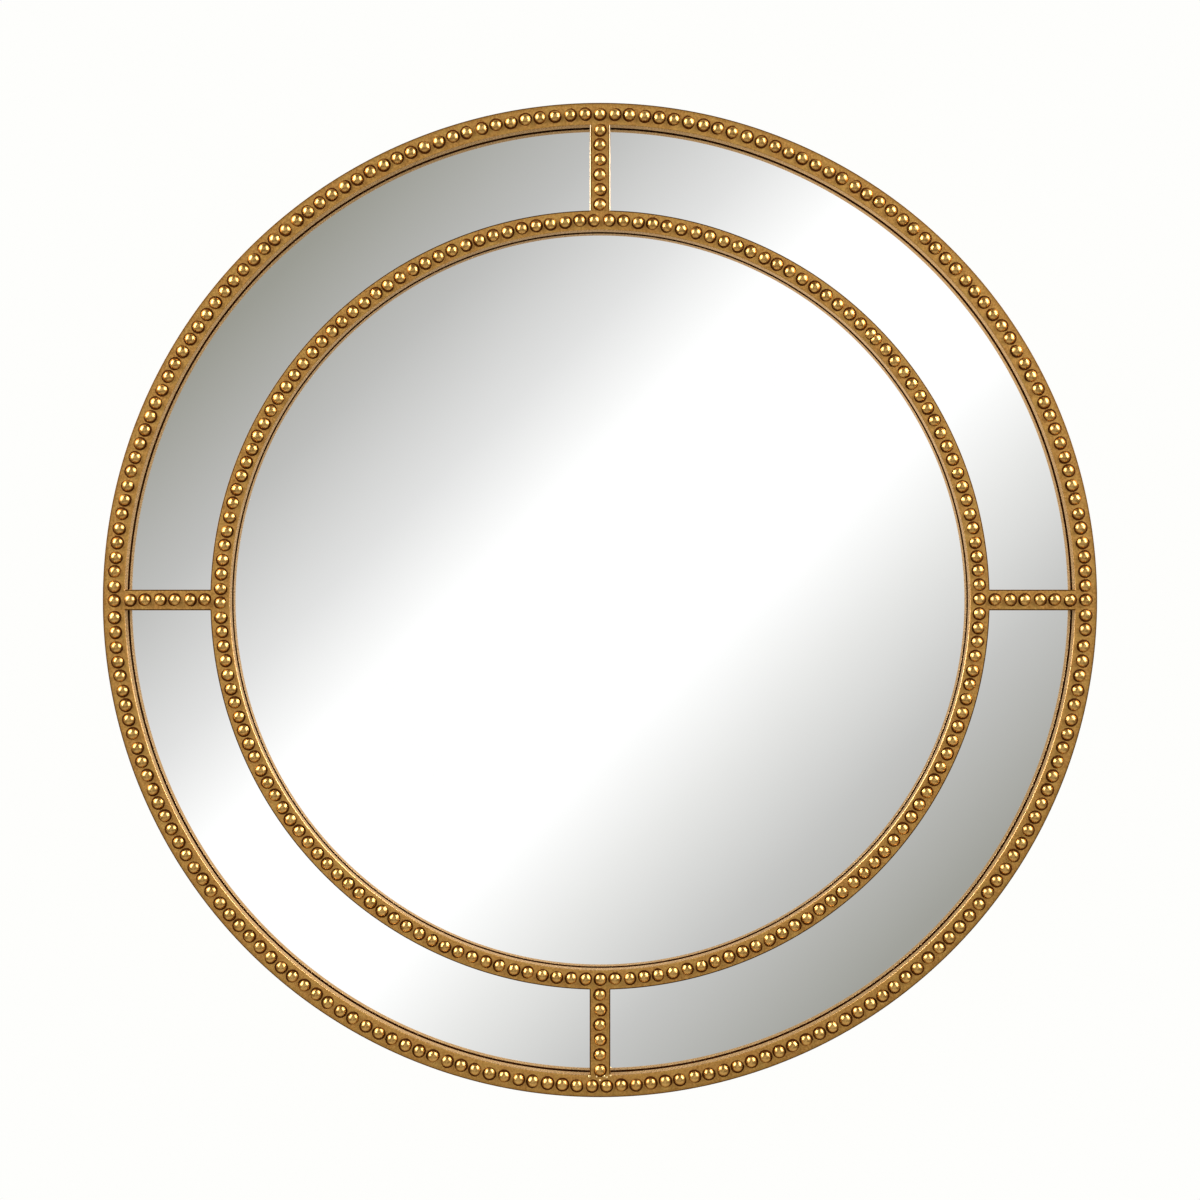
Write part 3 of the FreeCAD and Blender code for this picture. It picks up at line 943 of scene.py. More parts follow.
class BeadTree(Tree):
    """A run of beads, one at each point of the carrier, the first and last cut where they are spliced."""

    sides: int = 14
    levels: int = 12
    rim: float = math.radians(75.0)
    slack: float = 0.01
    weld: float = 0.001
    seeds: tuple[int, int, int, int] = (3, 4, 5, 6)

    def __init__(self, sizes: list[str]) -> None:
        """Makes the whole tree.

        Args:
            sizes: the names of its inputs that are plain numbers.
        """
        finishes = ("Dome Finish", "Collar Finish")
        kinds = {"Count": "Int", **dict.fromkeys(sizes, "Float"), **dict.fromkeys(finishes, "Material")}
        super().__init__("bead_run", kinds)
        self.finish(self.gilded(self.spliced(self.planted())))

    def dome(self) -> Socket:
        """A closed dome, cut from a round ball at the rim's angle and drawn out to the bead's size.

        Returns:
            The dome, standing on the origin along +Z.
        """
        rim_radius, rim_height = math.sin(self.rim), math.cos(self.rim)
        ball = self.give("GeometryNodeMeshUVSphere", Segments=self.sides, Rings=self.levels, Radius=1.0)
        height = self.split(self.give("GeometryNodeInputPosition"))[2]
        below = self.give("FunctionNodeCompare", operation="LESS_THAN", A=height, B=rim_height - self.slack)
        cap = self.give("GeometryNodeDeleteGeometry", Geometry=ball, Selection=below)
        smooth = self.give("GeometryNodeSetShadeSmooth", Geometry=cap)
        disc = self.give("GeometryNodeMeshCircle", fill_type="NGON", Vertices=self.sides, Radius=rim_radius)
        raised = self.give("GeometryNodeTransform", Geometry=disc, Translation=(0.0, 0.0, rim_height))
        turned = self.give("GeometryNodeFlipFaces", Mesh=raised)
        flat = self.give("GeometryNodeSetShadeSmooth", Geometry=turned, Shade_Smooth=False)
        pair = self.join(flat, smooth)
        closed = self.give("GeometryNodeMergeByDistance", Geometry=pair, Distance=self.weld)
        wide = self.maths("DIVIDE", self.given["Bead Radius"], rim_radius)
        high = self.maths("DIVIDE", self.given["Bead Height"], 1.0 - rim_height)
        return self.give(
            "GeometryNodeTransform",
            Geometry=closed,
            Translation=self.vector(0.0, 0.0, self.maths("MULTIPLY", high, -rim_height)),
            Scale=self.vector(wide, wide, high),
        )

    def collar(self) -> Socket:
        """The shallow collar round a dome's foot, whose faces carry the attribute "collar"."""
        cone = self.give(
            "GeometryNodeMeshCone",
            "Mesh",
            Vertices=self.sides,
            Radius_Top=self.given["Bead Radius"],
            Radius_Bottom=self.given["Collar Radius"],
            Depth=self.given["Collar Height"],
        )
        return self.mark(cone, "collar", "BOOLEAN", "FACE", True)

    def planted(self) -> Socket:
        """The beads, each a little different in size and lean, with its number in the attribute "place".

        Returns:
            The beads as one geometry.
        """
        lean, spread = self.given["Lean Spread"], self.given["Size Spread"]
        other_lean = self.maths("MULTIPLY", lean, -1.0)
        least = self.maths("SUBTRACT", 1.0, spread)
        most = self.maths("ADD", 1.0, spread)
        ranges = ((other_lean, lean), (other_lean, lean), (least, most), (least, most))
        nod, yaw, width, height = (
            self.random(low, high, seed) for (low, high), seed in zip(ranges, self.seeds)
        )
        beads = self.give(
            "GeometryNodeInstanceOnPoints",
            Points=self.given["Geometry"],
            Instance=self.join(self.collar(), self.dome()),
            Rotation=self.vector(self.maths("ADD", nod, math.pi / 2), 0.0, yaw),
            Scale=self.vector(width, width, height),
        )
        numbered = self.mark(beads, "place", "INT", "INSTANCE", self.give("GeometryNodeInputIndex"))
        return self.give("GeometryNodeRealizeInstances", Geometry=numbered)

    def turned(self, vector: Socket, angle: Socket) -> Socket:
        """A vector turned about the mirror's axis."""
        return self.give("ShaderNodeVectorRotate", rotation_type="Y_AXIS", Vector=vector, Angle=angle)

    def spliced(self, beads: Socket) -> Socket:
        """Presses the first and the last bead flat, each on its own side of the splice.

        Args:
            beads: the planted beads.

        Returns:
            The beads, cut if the run is spliced.
        """
        angle = self.given["Splice Angle"]
        level = self.turned(self.give("GeometryNodeInputPosition"), self.maths("MULTIPLY", angle, -1.0))
        across = self.split(level)[0]
        half = self.maths("MULTIPLY", self.given["Splice Gap"], 0.5)
        number = self.marked("place", "INT")
        is_first = self.maths("LESS_THAN", number, 0.5)
        is_last = self.maths("GREATER_THAN", number, self.maths("SUBTRACT", self.given["Count"], 1.5))
        over = self.maths("MAXIMUM", self.maths("SUBTRACT", half, across), 0.0)
        under = self.maths("MAXIMUM", self.maths("ADD", half, across), 0.0)
        first_shift = self.maths("MULTIPLY", over, is_first)
        last_shift = self.maths("MULTIPLY", under, is_last)
        shift = self.maths("SUBTRACT", first_shift, last_shift)
        shift = self.maths("MULTIPLY", shift, self.given["Spliced"])
        offset = self.turned(self.vector(shift), angle)
        return self.give("GeometryNodeSetPosition", Geometry=beads, Offset=offset)

    def gilded(self, beads: Socket) -> Socket:
        """Gives domes and collars their finishes and takes the attributes away.

        Args:
            beads: the finished shapes.

        Returns:
            The gilded beads.
        """
        geometry = self.give("GeometryNodeSetMaterial", Geometry=beads, Material=self.given["Dome Finish"])
        geometry = self.give(
            "GeometryNodeSetMaterial",
            Geometry=geometry,
            Selection=self.marked("collar", "BOOLEAN"),
            Material=self.given["Collar Finish"],
        )
        for name in ("collar", "place"):
            geometry = self.give("GeometryNodeRemoveAttribute", Geometry=geometry, Name=name)
        return geometry


class StampTree(Tree):
    """A pattern stood on every point of the carrier, turned about the mirror's axis."""

    spin_seed: int = 11
    size_seed: int = 12

    def __init__(self) -> None:
        """Makes the whole tree."""
        floats = dict.fromkeys(("Follow Circle", "Spin", "Size Spread"), "Float")
        super().__init__("stamp", {"Pattern": "Object", **floats, "Finish": "Material"})
        x, _, z = self.split(self.give("GeometryNodeInputPosition"))
        clock = self.maths("ARCTAN2", x, z)
        spin = self.random(0.0, self.given["Spin"], self.spin_seed)
        turn = self.maths("MULTIPLY_ADD", clock, self.given["Follow Circle"], spin)
        least = self.maths("SUBTRACT", 1.0, self.given["Size Spread"])
        scale = self.random(least, 1.0, self.size_seed)
        stamped = self.give(
            "GeometryNodeInstanceOnPoints",
            Points=self.given["Geometry"],
            Instance=self.give("GeometryNodeObjectInfo", "Geometry", Object=self.given["Pattern"]),
            Rotation=self.vector(0.0, turn, 0.0),
            Scale=self.vector(scale, scale, scale),
        )
        real = self.give("GeometryNodeRealizeInstances", Geometry=stamped)
        self.finish(self.give("GeometryNodeSetMaterial", Geometry=real, Material=self.given["Finish"]))


def stamp(
    name: str,
    pattern: bpy.types.Mesh,
    spots: list[Vector],
    finish: Finish,
    follow_circle: bool = False,
    spin: float = 0.0,
    size_spread: float = 0.0,
) -> bpy.types.Object:
    """A piece made of one pattern stood at several spots.

    Args:
        name: the piece's name.
        pattern: the mesh that is repeated, built about the origin.
        spots: where it stands.
        finish: the finish of every copy.
        follow_circle: whether a copy turns with its clock angle.
        spin: the most that a copy may turn at random, in radians.
        size_spread: how much smaller a copy may be, as a share.

    Returns:
        The piece.
    """
    model = show(f"{name}_pattern", pattern)
    values = {
        "Pattern": model,
        "Follow Circle": float(follow_circle),
        "Spin": spin,
        "Size Spread": size_spread,
        "Finish": finish.material(),
    }
    piece = StampTree().grow(name, values, spots)
    bpy.data.objects.remove(model)
    return piece


# Sub-assemblies


@dataclass
class SubAssembly:
    """A group of pieces that are made together, with the reports that each one gives."""

    def settle(
        self, piece: bpy.types.Object, slot: Slot, replaced: tuple[str, ...] = (), body: Body = Body.MIRROR
    ) -> None:
        """Ties a finished piece to its body and hides the nodes that it stands for.

        Args:
            piece: the piece, in place.
            slot: not used.
            replaced: the nodes that it stands for.
            body: the body that it moves with.
        """
        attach(piece, body.value)
        if replaced:
            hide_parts(*replaced)
        LOG.info("%s: %d faces, on %s, for %s", piece.name, len(piece.data.polygons), body.value, replaced)


@dataclass
class GiltFrame(SubAssembly):
    """Two turned rings and four spokes whose faces run into each other."""

    ring_ease: float = 0.85 * MM
    ring_margin: float = 0.5 * MM
    seam_reach: float = 2.0 * MM
    rim_ease: float = 0.4 * MM
    spoke_ease: float = 1.25 * MM
    crisp_ease: float = 0.7 * MM
    back_ease: float = 0.3 * MM
    lip_ease: float = 0.15 * MM
    square_share: float = 0.03
    stem_gap: float = 0.05 * MM
    ring_steps: int = 360
    seam_shares: tuple[float, ...] = (0.85, 0.9, 0.95, 1.0, 1.03, 1.06, 1.1)
    outer_front_inner: int = 0
    inner_front_outer: int = 1
    gilt: int = 0
    # Bare wood, darkened as painted shade.
    bare: int = 1
    # The near-black gold of painted shade on rims and edges.
    edge: int = 2
    # A ring's bore walls, in lighter gold as painted sheen; a spoke's flanks.
    bore: int = 3
    filler_radius: float = 1.2 * MM
    filler_height: float = 0.9 * MM
    filler_spread: float = 0.35
    filler_spots: tuple[Point2, ...] = (
        (-8.7 * MM, -389.5 * MM), (-2.6 * MM, -389.5 * MM), (3.3 * MM, -389.2 * MM),
        (5.3 * MM, -389.9 * MM), (8.6 * MM, -388.7 * MM), (-0.1 * MM, -392.6 * MM),
    )

    def outer_section(self) -> Section:
        """The outer ring's section, gilded but for its rebate and back."""
        lay, bare = LAYOUT, self.bare
        return Section((
            Corner(lay.outer_bore, lay.face, self.ring_ease),
            # The rim and the outer wall take near-black gold as painted shade.
            Corner(lay.outer_radius, lay.face, self.rim_ease, self.edge, wrapped=True),
            # The back, the rebate and the lip's back are bare wood darkened as painted shade.
            Corner(lay.outer_radius, lay.board_front, self.back_ease, bare),
            Corner(lay.outer_rebate, lay.board_front, self.back_ease, bare),
            Corner(lay.outer_rebate, lay.lip_back, self.lip_ease, bare),
            # The bore wall takes lighter gold as painted sheen.
            Corner(lay.outer_bore, lay.lip_back, self.lip_ease, self.bore),
        ), margin=self.ring_margin)

    def inner_section(self) -> Section:
        """The inner ring's T-shaped section, gilded but for its stem and the backs of its lips."""
        lay, bare = LAYOUT, self.bare
        return Section((
            Corner(lay.inner_bore, lay.face, self.ring_ease),
            # The rim and the outer wall take near-black gold as painted shade.
            Corner(lay.inner_radius, lay.face, self.rim_ease, self.edge, wrapped=True),
            # The lips' backs and the stem are bare wood darkened as painted shade.
            Corner(lay.inner_radius, lay.lip_back, self.lip_ease, bare),
            Corner(lay.inner_stem, lay.lip_back, self.lip_ease, bare),
            Corner(lay.inner_stem, lay.board_front, self.lip_ease, bare),
            Corner(lay.inner_stem_bore, lay.board_front, self.lip_ease, bare),
            Corner(lay.inner_stem_bore, lay.lip_back, self.lip_ease, bare),
            # The bore wall takes lighter gold as painted sheen.
            Corner(lay.inner_bore, lay.lip_back, self.lip_ease, self.bore),
        ), margin=self.ring_margin)

    def ring_angles(self, radius: float) -> list[float]:
        """Clock angles for a ring's sections, closer together where its edge meets a spoke.

        Args:
            radius: the radius of the edge that the spokes meet.

        Returns:
            The angles in degrees, in order.
        """
        half = math.degrees(LAYOUT.spoke_half_width / radius)
        angles = {360.0 * step / self.ring_steps for step in range(self.ring_steps)}
        for side in Side:
            for share in self.seam_shares:
                angles |= {(side.value + half * share) % 360.0, (side.value - half * share) % 360.0}
        return sorted(angles)

    def open_share(self, radius: float, angle: float) -> float:
        """The share of an edge's ease that shows at a clock angle.

        Args:
            radius: the edge's radius.
            angle: the clock angle.

        Returns:
            A share from the square one to 1.
        """
        quarter = 360.0 / len(Side)
        offset = (angle + quarter / 2) % quarter - quarter / 2
        across = abs(radius * math.sin(math.radians(offset)))
        start, end = LAYOUT.spoke_half_width - self.spoke_ease, LAYOUT.spoke_half_width + self.lip_ease
        share = min(max((across - start) / (end - start), 0.0), 1.0)
        return self.square_share + (1.0 - self.square_share) * share * share

    def ring(self, name: str, section: Section, edge: int, radius: float) -> bpy.types.Object:
        """A turned ring whose edge towards the spokes is square where they meet it.

        Args:
            name: the piece's name.
            section: the ring's section.
            edge: the index of the section's corner that the spokes run into.
            radius: that corner's radius.

        Returns:
            The piece.
        """
        shell = bmesh.new()
        rows = []
        for angle in self.ring_angles(radius):
            outline = section.outline({edge: self.open_share(radius, angle)})
            rows.append([shell.verts.new(on_clock(across, angle, depth)) for across, depth in outline])
        tile(shell, rows, section.finishes(), closed=True)
        # Beside a spoke, the edge's painted shade gives way to plain gilt.
        for face in shell.faces:
            spot = face.calc_center_median()
            by_spoke = min(abs(spot.x), abs(spot.z)) < LAYOUT.spoke_half_width - self.crisp_ease
            by_edge = abs(math.hypot(spot.x, spot.z) - radius) < self.seam_reach
            if by_spoke and by_edge and face.material_index == self.edge:
                face.material_index = self.gilt
        return new_piece(name, finish_mesh(name, shell), [GILT, SHADED_BARE_WOOD, PAINTED_SHADE_GILT, PAINTED_SHEEN_BORE_GILT])

    def spoke(self, side: Side) -> bpy.types.Object:
        """A spoke: a face between the rings' faces, on a longer stem that reaches under their lips.

        Args:
            side: the side that it points to.

        Returns:
            The piece.
        """
        lay = LAYOUT
        half, stem = lay.spoke_half_width, lay.spoke_stem_half_width
        # The upper spoke's flanks take pale gold as painted highlight; every spoke has a band of near-black
        # gold as painted shade along its face's edges, wider on the other three.
        highlighted = side is Side.UPPER
        ease, band_steps = (self.spoke_ease, 1) if highlighted else (self.crisp_ease, 3)
        face = Section((
            Corner(-half, lay.face, ease, band=self.edge, band_steps=band_steps),
            Corner(half, lay.face, ease, self.bore, band=self.edge, band_steps=band_steps),
            Corner(half, lay.lip_back, self.lip_ease, self.bare),
            Corner(-half, lay.lip_back, self.lip_ease, self.bore),
        ))
        top = lay.lip_back - self.stem_gap
        tail = Section(tuple(
            Corner(across, depth, self.lip_ease, self.bare)
            for across, depth in (
                (-stem, top), (stem, top), (stem, lay.board_front), (-stem, lay.board_front)
            )
        ))
        shell = bmesh.new()
        turn = Matrix.Rotation(math.radians(side.value), 3, "Y")
        reach = ((face, lay.inner_radius, lay.outer_bore),
                 (tail, lay.inner_stem + lay.joint_clearance, lay.outer_rebate - lay.joint_clearance))
        for section, low, high in reach:
            rows = []
            for radius in (low, high):
                row = []
                for across, depth in section.outline():
                    spot = Vector((across, -depth, math.sqrt(radius**2 - across**2)))
                    row.append(shell.verts.new(turn @ spot))
                rows.append(row)
            tile(shell, rows, section.finishes(), closed=False)
        name = f"gilt_{side.name.lower()}_spoke"
        flank = PAINTED_HIGHLIGHT_SPOKE_GILT if highlighted else GILT
        return new_piece(name, finish_mesh(name, shell), [GILT, SHADED_BARE_WOOD, PAINTED_SHADE_GILT, flank])

    def filler(self) -> bpy.types.Object:
        """The little lumps of gilded filler left where the lower spoke meets the outer ring, in a very light
        gold that paints their glint.

        Returns:
            The piece.
        """
        shell = bmesh.new()
        bmesh.ops.create_icosphere(shell, subdivisions=2, radius=1.0)
        sizes = (self.filler_radius, self.filler_height, self.filler_radius)
        bmesh.ops.scale(shell, vec=sizes, verts=shell.verts)
        lump = finish_mesh("filler_lump", shell)
        spots = [Vector((across, -LAYOUT.face, up)) for across, up in self.filler_spots]
        return stamp(
            "spoke_joint_filler", lump, spots, PAINTED_GLINT_FILLER_GILT, spin=math.pi, size_spread=self.filler_spread
        )

    def build(self) -> None:
        """Makes the rings, the spokes and the filler at the lower joint."""
        rings = (
            ("outer_ring", self.outer_section(), self.outer_front_inner, LAYOUT.outer_bore),
            ("inner_ring", self.inner_section(), self.inner_front_outer, LAYOUT.inner_radius),
        )
        for node, section, edge, radius in rings:
            ring = self.ring(f"gilt_{node}", section, edge, radius)
            self.settle(ring, Slot.GILT, (node,))
        for side in Side:
            self.settle(self.spoke(side), Slot.GILT, (f"{side.name.lower()}_spoke",))
        self.settle(self.filler(), Slot.GILT)


@dataclass(frozen=True)
class Strip:
    """A length of beading, bent round a ring between two clock angles, its beads evenly spaced.

    Attributes:
        start: the clock angle where it begins, in degrees.
        end: the clock angle where it ends, in degrees.
        count: how many beads it has.
    """

    start: float
    end: float
    count: int

    def angles(self) -> list[float]:
        """The clock angles of its beads."""
        pitch = (self.end - self.start) / self.count
        return [self.start + pitch * (place + 0.5) for place in range(self.count)]


@dataclass
class Beading(SubAssembly):
    """The runs of domed beads: strips bent round the rings, and straight rows on the spokes."""

    outer_circle: float = 397.05 * MM
    outer_strips: tuple[Strip, ...] = (
        Strip(94.62, 127.91, 19),
        Strip(127.93, 268.80, 81),
        Strip(269.04, 327.40, 34),
        Strip(327.40, 390.79, 36),
        Strip(390.79, 454.35, 37),
    )
    inner_circle: float = 310.1 * MM
    inner_strips: tuple[Strip, ...] = (
        Strip(45.58, 101.79, 26),
        Strip(101.79, 203.04, 46),
        Strip(203.04, 283.72, 37),
        Strip(283.72, 316.08, 15),
        Strip(316.08, 406.62, 41),
    )
    splice: Splice = Splice(46.1, 0.3 * MM, True)
    row_count: int = 6
    row_first: float = 322.85 * MM
    row_pitch: float = 12.24 * MM
    outer_kind: BeadKind = BeadKind(4.85 * MM, 3.75 * MM, 5.85 * MM)
    inner_kind: BeadKind = BeadKind(4.75 * MM, 3.7 * MM, 5.72 * MM)
    row_kind: BeadKind = BeadKind(4.75 * MM, 3.75 * MM, 5.75 * MM)

    def run(
        self, name: str, spots: list[Vector], kind: BeadKind, splice: Splice = Splice()
    ) -> None:
        """One run of beads, which stands for the node that is named after the same place.

        Args:
            name: the place, as in outer_ring.
            spots: where each bead stands, in order.
            kind: the beads' shape.
            splice: how the first and last beads meet.
        """
        sizes = {**kind.values(), **splice.values()}
        # The collars' dark brown is partly patina and partly painted contact shadow.
        finishes = {"Dome Finish": BEAD_GOLD.material(), "Collar Finish": PATINA_AND_SHADOW.material()}
        values = {**sizes, **finishes, "Count": len(spots)}
        piece = BeadTree(list(sizes)).grow(f"{name}_beading", values, spots)
        self.settle(piece, Slot.BEAD, (f"{name}_beads",))

    def round_ring(self, circle: float, strips: tuple[Strip, ...]) -> list[Vector]:
        """Where the beads of a ring's strips stand."""
        return [on_clock(circle, angle, LAYOUT.face) for strip in strips for angle in strip.angles()]

    def build(self) -> None:
        """Makes both rings of beads and the four short rows."""
        self.run("outer_ring", self.round_ring(self.outer_circle, self.outer_strips), self.outer_kind)
        inner = self.round_ring(self.inner_circle, self.inner_strips)
        self.run("inner_ring", inner, self.inner_kind, self.splice)
        for side in Side:
            row = [on_clock(self.row_first + place * self.row_pitch, side.value, LAYOUT.face)
                   for place in range(self.row_count)]
            self.run(f"{side.name.lower()}_spoke", row, self.row_kind)


@dataclass
class Panes(SubAssembly):
    """The five silvered panes, each shown from where its silvering appears to lie in the glass."""

    circle_steps: int = 256
    arc_steps: int = 72

    def quarter(self) -> list[Point2]:
        """The upper right pane's outline: two arcs and two straight sides.

        Returns:
            Points as (x, z), going round once.
        """
        inset = LAYOUT.spoke_stem_half_width + LAYOUT.glass_gap
        found: list[Point2] = []
        for radius, forwards in ((LAYOUT.outer_rebate - LAYOUT.glass_gap, True),
                                 (LAYOUT.inner_stem + LAYOUT.glass_gap, False)):
            margin = math.asin(inset / radius)
            turns = [margin + (math.pi / 2 - 2 * margin) * step / self.arc_steps
                     for step in range(self.arc_steps + 1)]
            for turn in turns if forwards else reversed(turns):
                found.append((radius * math.sin(turn), radius * math.cos(turn)))
        return found

    def build(self) -> None:
        """Makes the centre disc and the four quarter panes."""
        disc = circle_outline(LAYOUT.inner_stem_bore - LAYOUT.glass_gap, self.circle_steps)
        mesh = slab("centre_pane", disc, LAYOUT.silvering, LAYOUT.glass_back)
        self.settle(new_piece("centre_pane", mesh, [MIRROR]), Slot.MIRROR, ("centre_mirror",))
        corners = ("upper_right", "lower_right", "lower_left", "upper_left")
        for corner, side in zip(corners, Side):
            mesh = slab(f"{corner}_pane", self.quarter(), LAYOUT.silvering, LAYOUT.glass_back)
            mesh.transform(Matrix.Rotation(math.radians(side.value), 4, "Y"))
            pane = new_piece(f"{corner}_pane", mesh, [MIRROR])
            self.settle(pane, Slot.MIRROR, (f"{corner}_mirror",))


@dataclass(frozen=True)
class CrossHead:
    """A screw head with a cross recess, which stands on the origin along +Y.

    Attributes:
        radius: the head's radius.
        height: its height.
        slot_reach: how far each arm of the cross reaches from the middle.
        slot_half_width: half an arm's width.
        slot_depth: how deep the cross is.
        slot_taper: how much of its size the cross keeps at its floor.
        profile: the head's edge from the foot up, as shares of its radius and height.
        sides: how many sides its circle has.
    """

    radius: float = 3.1 * MM
    height: float = 1.8 * MM
    slot_reach: float = 1.75 * MM
    slot_half_width: float = 0.42 * MM
    slot_depth: float = 1.0 * MM
    slot_taper: float = 0.8
    profile: tuple[Point2, ...] = ((1.0, 0.0), (1.0, 0.35), (0.93, 0.72), (0.8, 0.95))
    sides: int = 24

    def mesh(self, name: str) -> bpy.types.Mesh:
        """The head's mesh, closed below.

        Args:
            name: the mesh's name.

        Returns:
            The mesh.
        """
        half, reach = self.slot_half_width, self.slot_reach
        cross = [
            (half, reach), (half, half), (reach, half), (reach, -half), (half, -half), (half, -reach),
            (-half, -reach), (-half, -half), (-reach, -half), (-reach, half), (-half, half), (-half, reach),
        ]
        shell = bmesh.new()

        def level(outline: list[Point2], scale: float, height: float) -> list[bmesh.types.BMVert]:
            """An outline's vertices at a height."""
            return [shell.verts.new((scale * x, height, scale * z)) for x, z in outline]

        circle = circle_outline(self.radius, self.sides, 0.5)
        rings = [level(circle, share, rise * self.height) for share, rise in self.profile]
        rim = level(cross, 1.0, self.height)
        floor = level(cross, self.slot_taper, self.height - self.slot_depth)
        tile(shell, rings, caps=(True, False))
        tile(shell, [rim, floor], caps=(False, True))
        self.bridge(shell, rings[-1], rim)
        return finish_mesh(name, shell, sharp_degrees=35.0)

    def bridge(
        self, shell: bmesh.types.BMesh, ring: list[bmesh.types.BMVert], rim: list[bmesh.types.BMVert]
    ) -> None:
        """Closes the crown with triangles, going round its edge and the cross at once.

        Args:
            shell: the bmesh.
            ring: the crown's round edge.
            rim: the cross's upper edge.
        """
        def clock(vert: bmesh.types.BMVert) -> float:
            """A vertex's angle round the head, from 0 to a full turn."""
            return math.atan2(vert.co.x, vert.co.z) % (2 * math.pi)

        outer = sorted(ring, key=clock)
        inner = sorted(rim, key=clock)
        near = near_in = 0
        while near < len(outer) or near_in < len(inner):
            out, into = outer[near % len(outer)], inner[near_in % len(inner)]
            next_out, next_in = outer[(near + 1) % len(outer)], inner[(near_in + 1) % len(inner)]
            angle_out = clock(next_out) + (2 * math.pi if near + 1 >= len(outer) else 0.0)
            angle_in = clock(next_in) + (2 * math.pi if near_in + 1 >= len(inner) else 0.0)
            if near_in >= len(inner) or (near < len(outer) and angle_out <= angle_in):
                shell.faces.new((out, next_out, into))
                near += 1
            else:
                shell.faces.new((out, next_in, into))
                near_in += 1


@dataclass
class Back(SubAssembly):
    """The back board, its screws and its rubber bumpers."""

    board_ease: float = 0.7 * MM
    board_steps: int = 288
    outer_screws: int = 16
    outer_screw_circle: float = 397.6 * MM
    inner_screws: int = 8
    inner_screw_circle: float = 310.5 * MM
    bumper_circle: float = 388.0 * MM
    bumper_half: float = 8.0 * MM
    bumper_tip: float = 6.0 * MM
    bumper_height: float = 5.6 * MM
    bumper_ease: float = 0.8 * MM
    bumper_steps: int = 4
    corners: tuple[float, ...] = (45.0, 135.0, 225.0, 315.0)
    flat_head: CrossHead = CrossHead(3.0 * MM, 0.35 * MM, slot_reach=1.6 * MM, slot_depth=0.3 * MM)

    def bumper(self) -> bpy.types.Mesh:
        """One square bumper, narrower at its tip, with soft edges.

        Returns:
            The mesh.
        """
        shell = bmesh.new()
        square = ((-1, -1), (1, -1), (1, 1), (-1, 1))
        levels = ((self.bumper_half, 0.0), (self.bumper_tip, self.bumper_height))
        tile(shell, [
            [shell.verts.new((x * half, rise, z * half)) for x, z in square] for half, rise in levels
        ])
        bmesh.ops.recalc_face_normals(shell, faces=shell.faces)
        edges = [edge for edge in shell.edges if max(vert.co.y for vert in edge.verts) > 0]
        round_edges(shell, edges, self.bumper_ease, self.bumper_steps)
        return finish_mesh("bumper_pattern", shell)

    def build(self) -> None:
        """Makes the board, the screws round it and the bumpers."""
        outline = circle_outline(LAYOUT.board_radius, self.board_steps)
        mesh = slab("fibre_board", outline, LAYOUT.board_front, 0.0, self.board_ease)
        self.settle(new_piece("fibre_board", mesh, [BOARD]), Slot.BOARD, ("back_board",))
        circles = (
            (self.outer_screw_circle, self.outer_screws, 0.5),
            (self.inner_screw_circle, self.inner_screws, 0.0),
        )
        spots = [on_clock(circle, 360.0 * (step + first) / count)
                 for circle, count, first in circles for step in range(count)]
        screws = stamp("board_screws", self.flat_head.mesh("flat_head"), spots, ZINC, spin=math.pi / 2)
        self.settle(screws, Slot.ZINC)
        places = [on_clock(self.bumper_circle, angle) for angle in self.corners]
        bumpers = stamp("rubber_bumpers", self.bumper(), places, BLACK_RUBBER, follow_circle=True)
        self.settle(bumpers, Slot.RUBBER, ("wall_bumpers",))


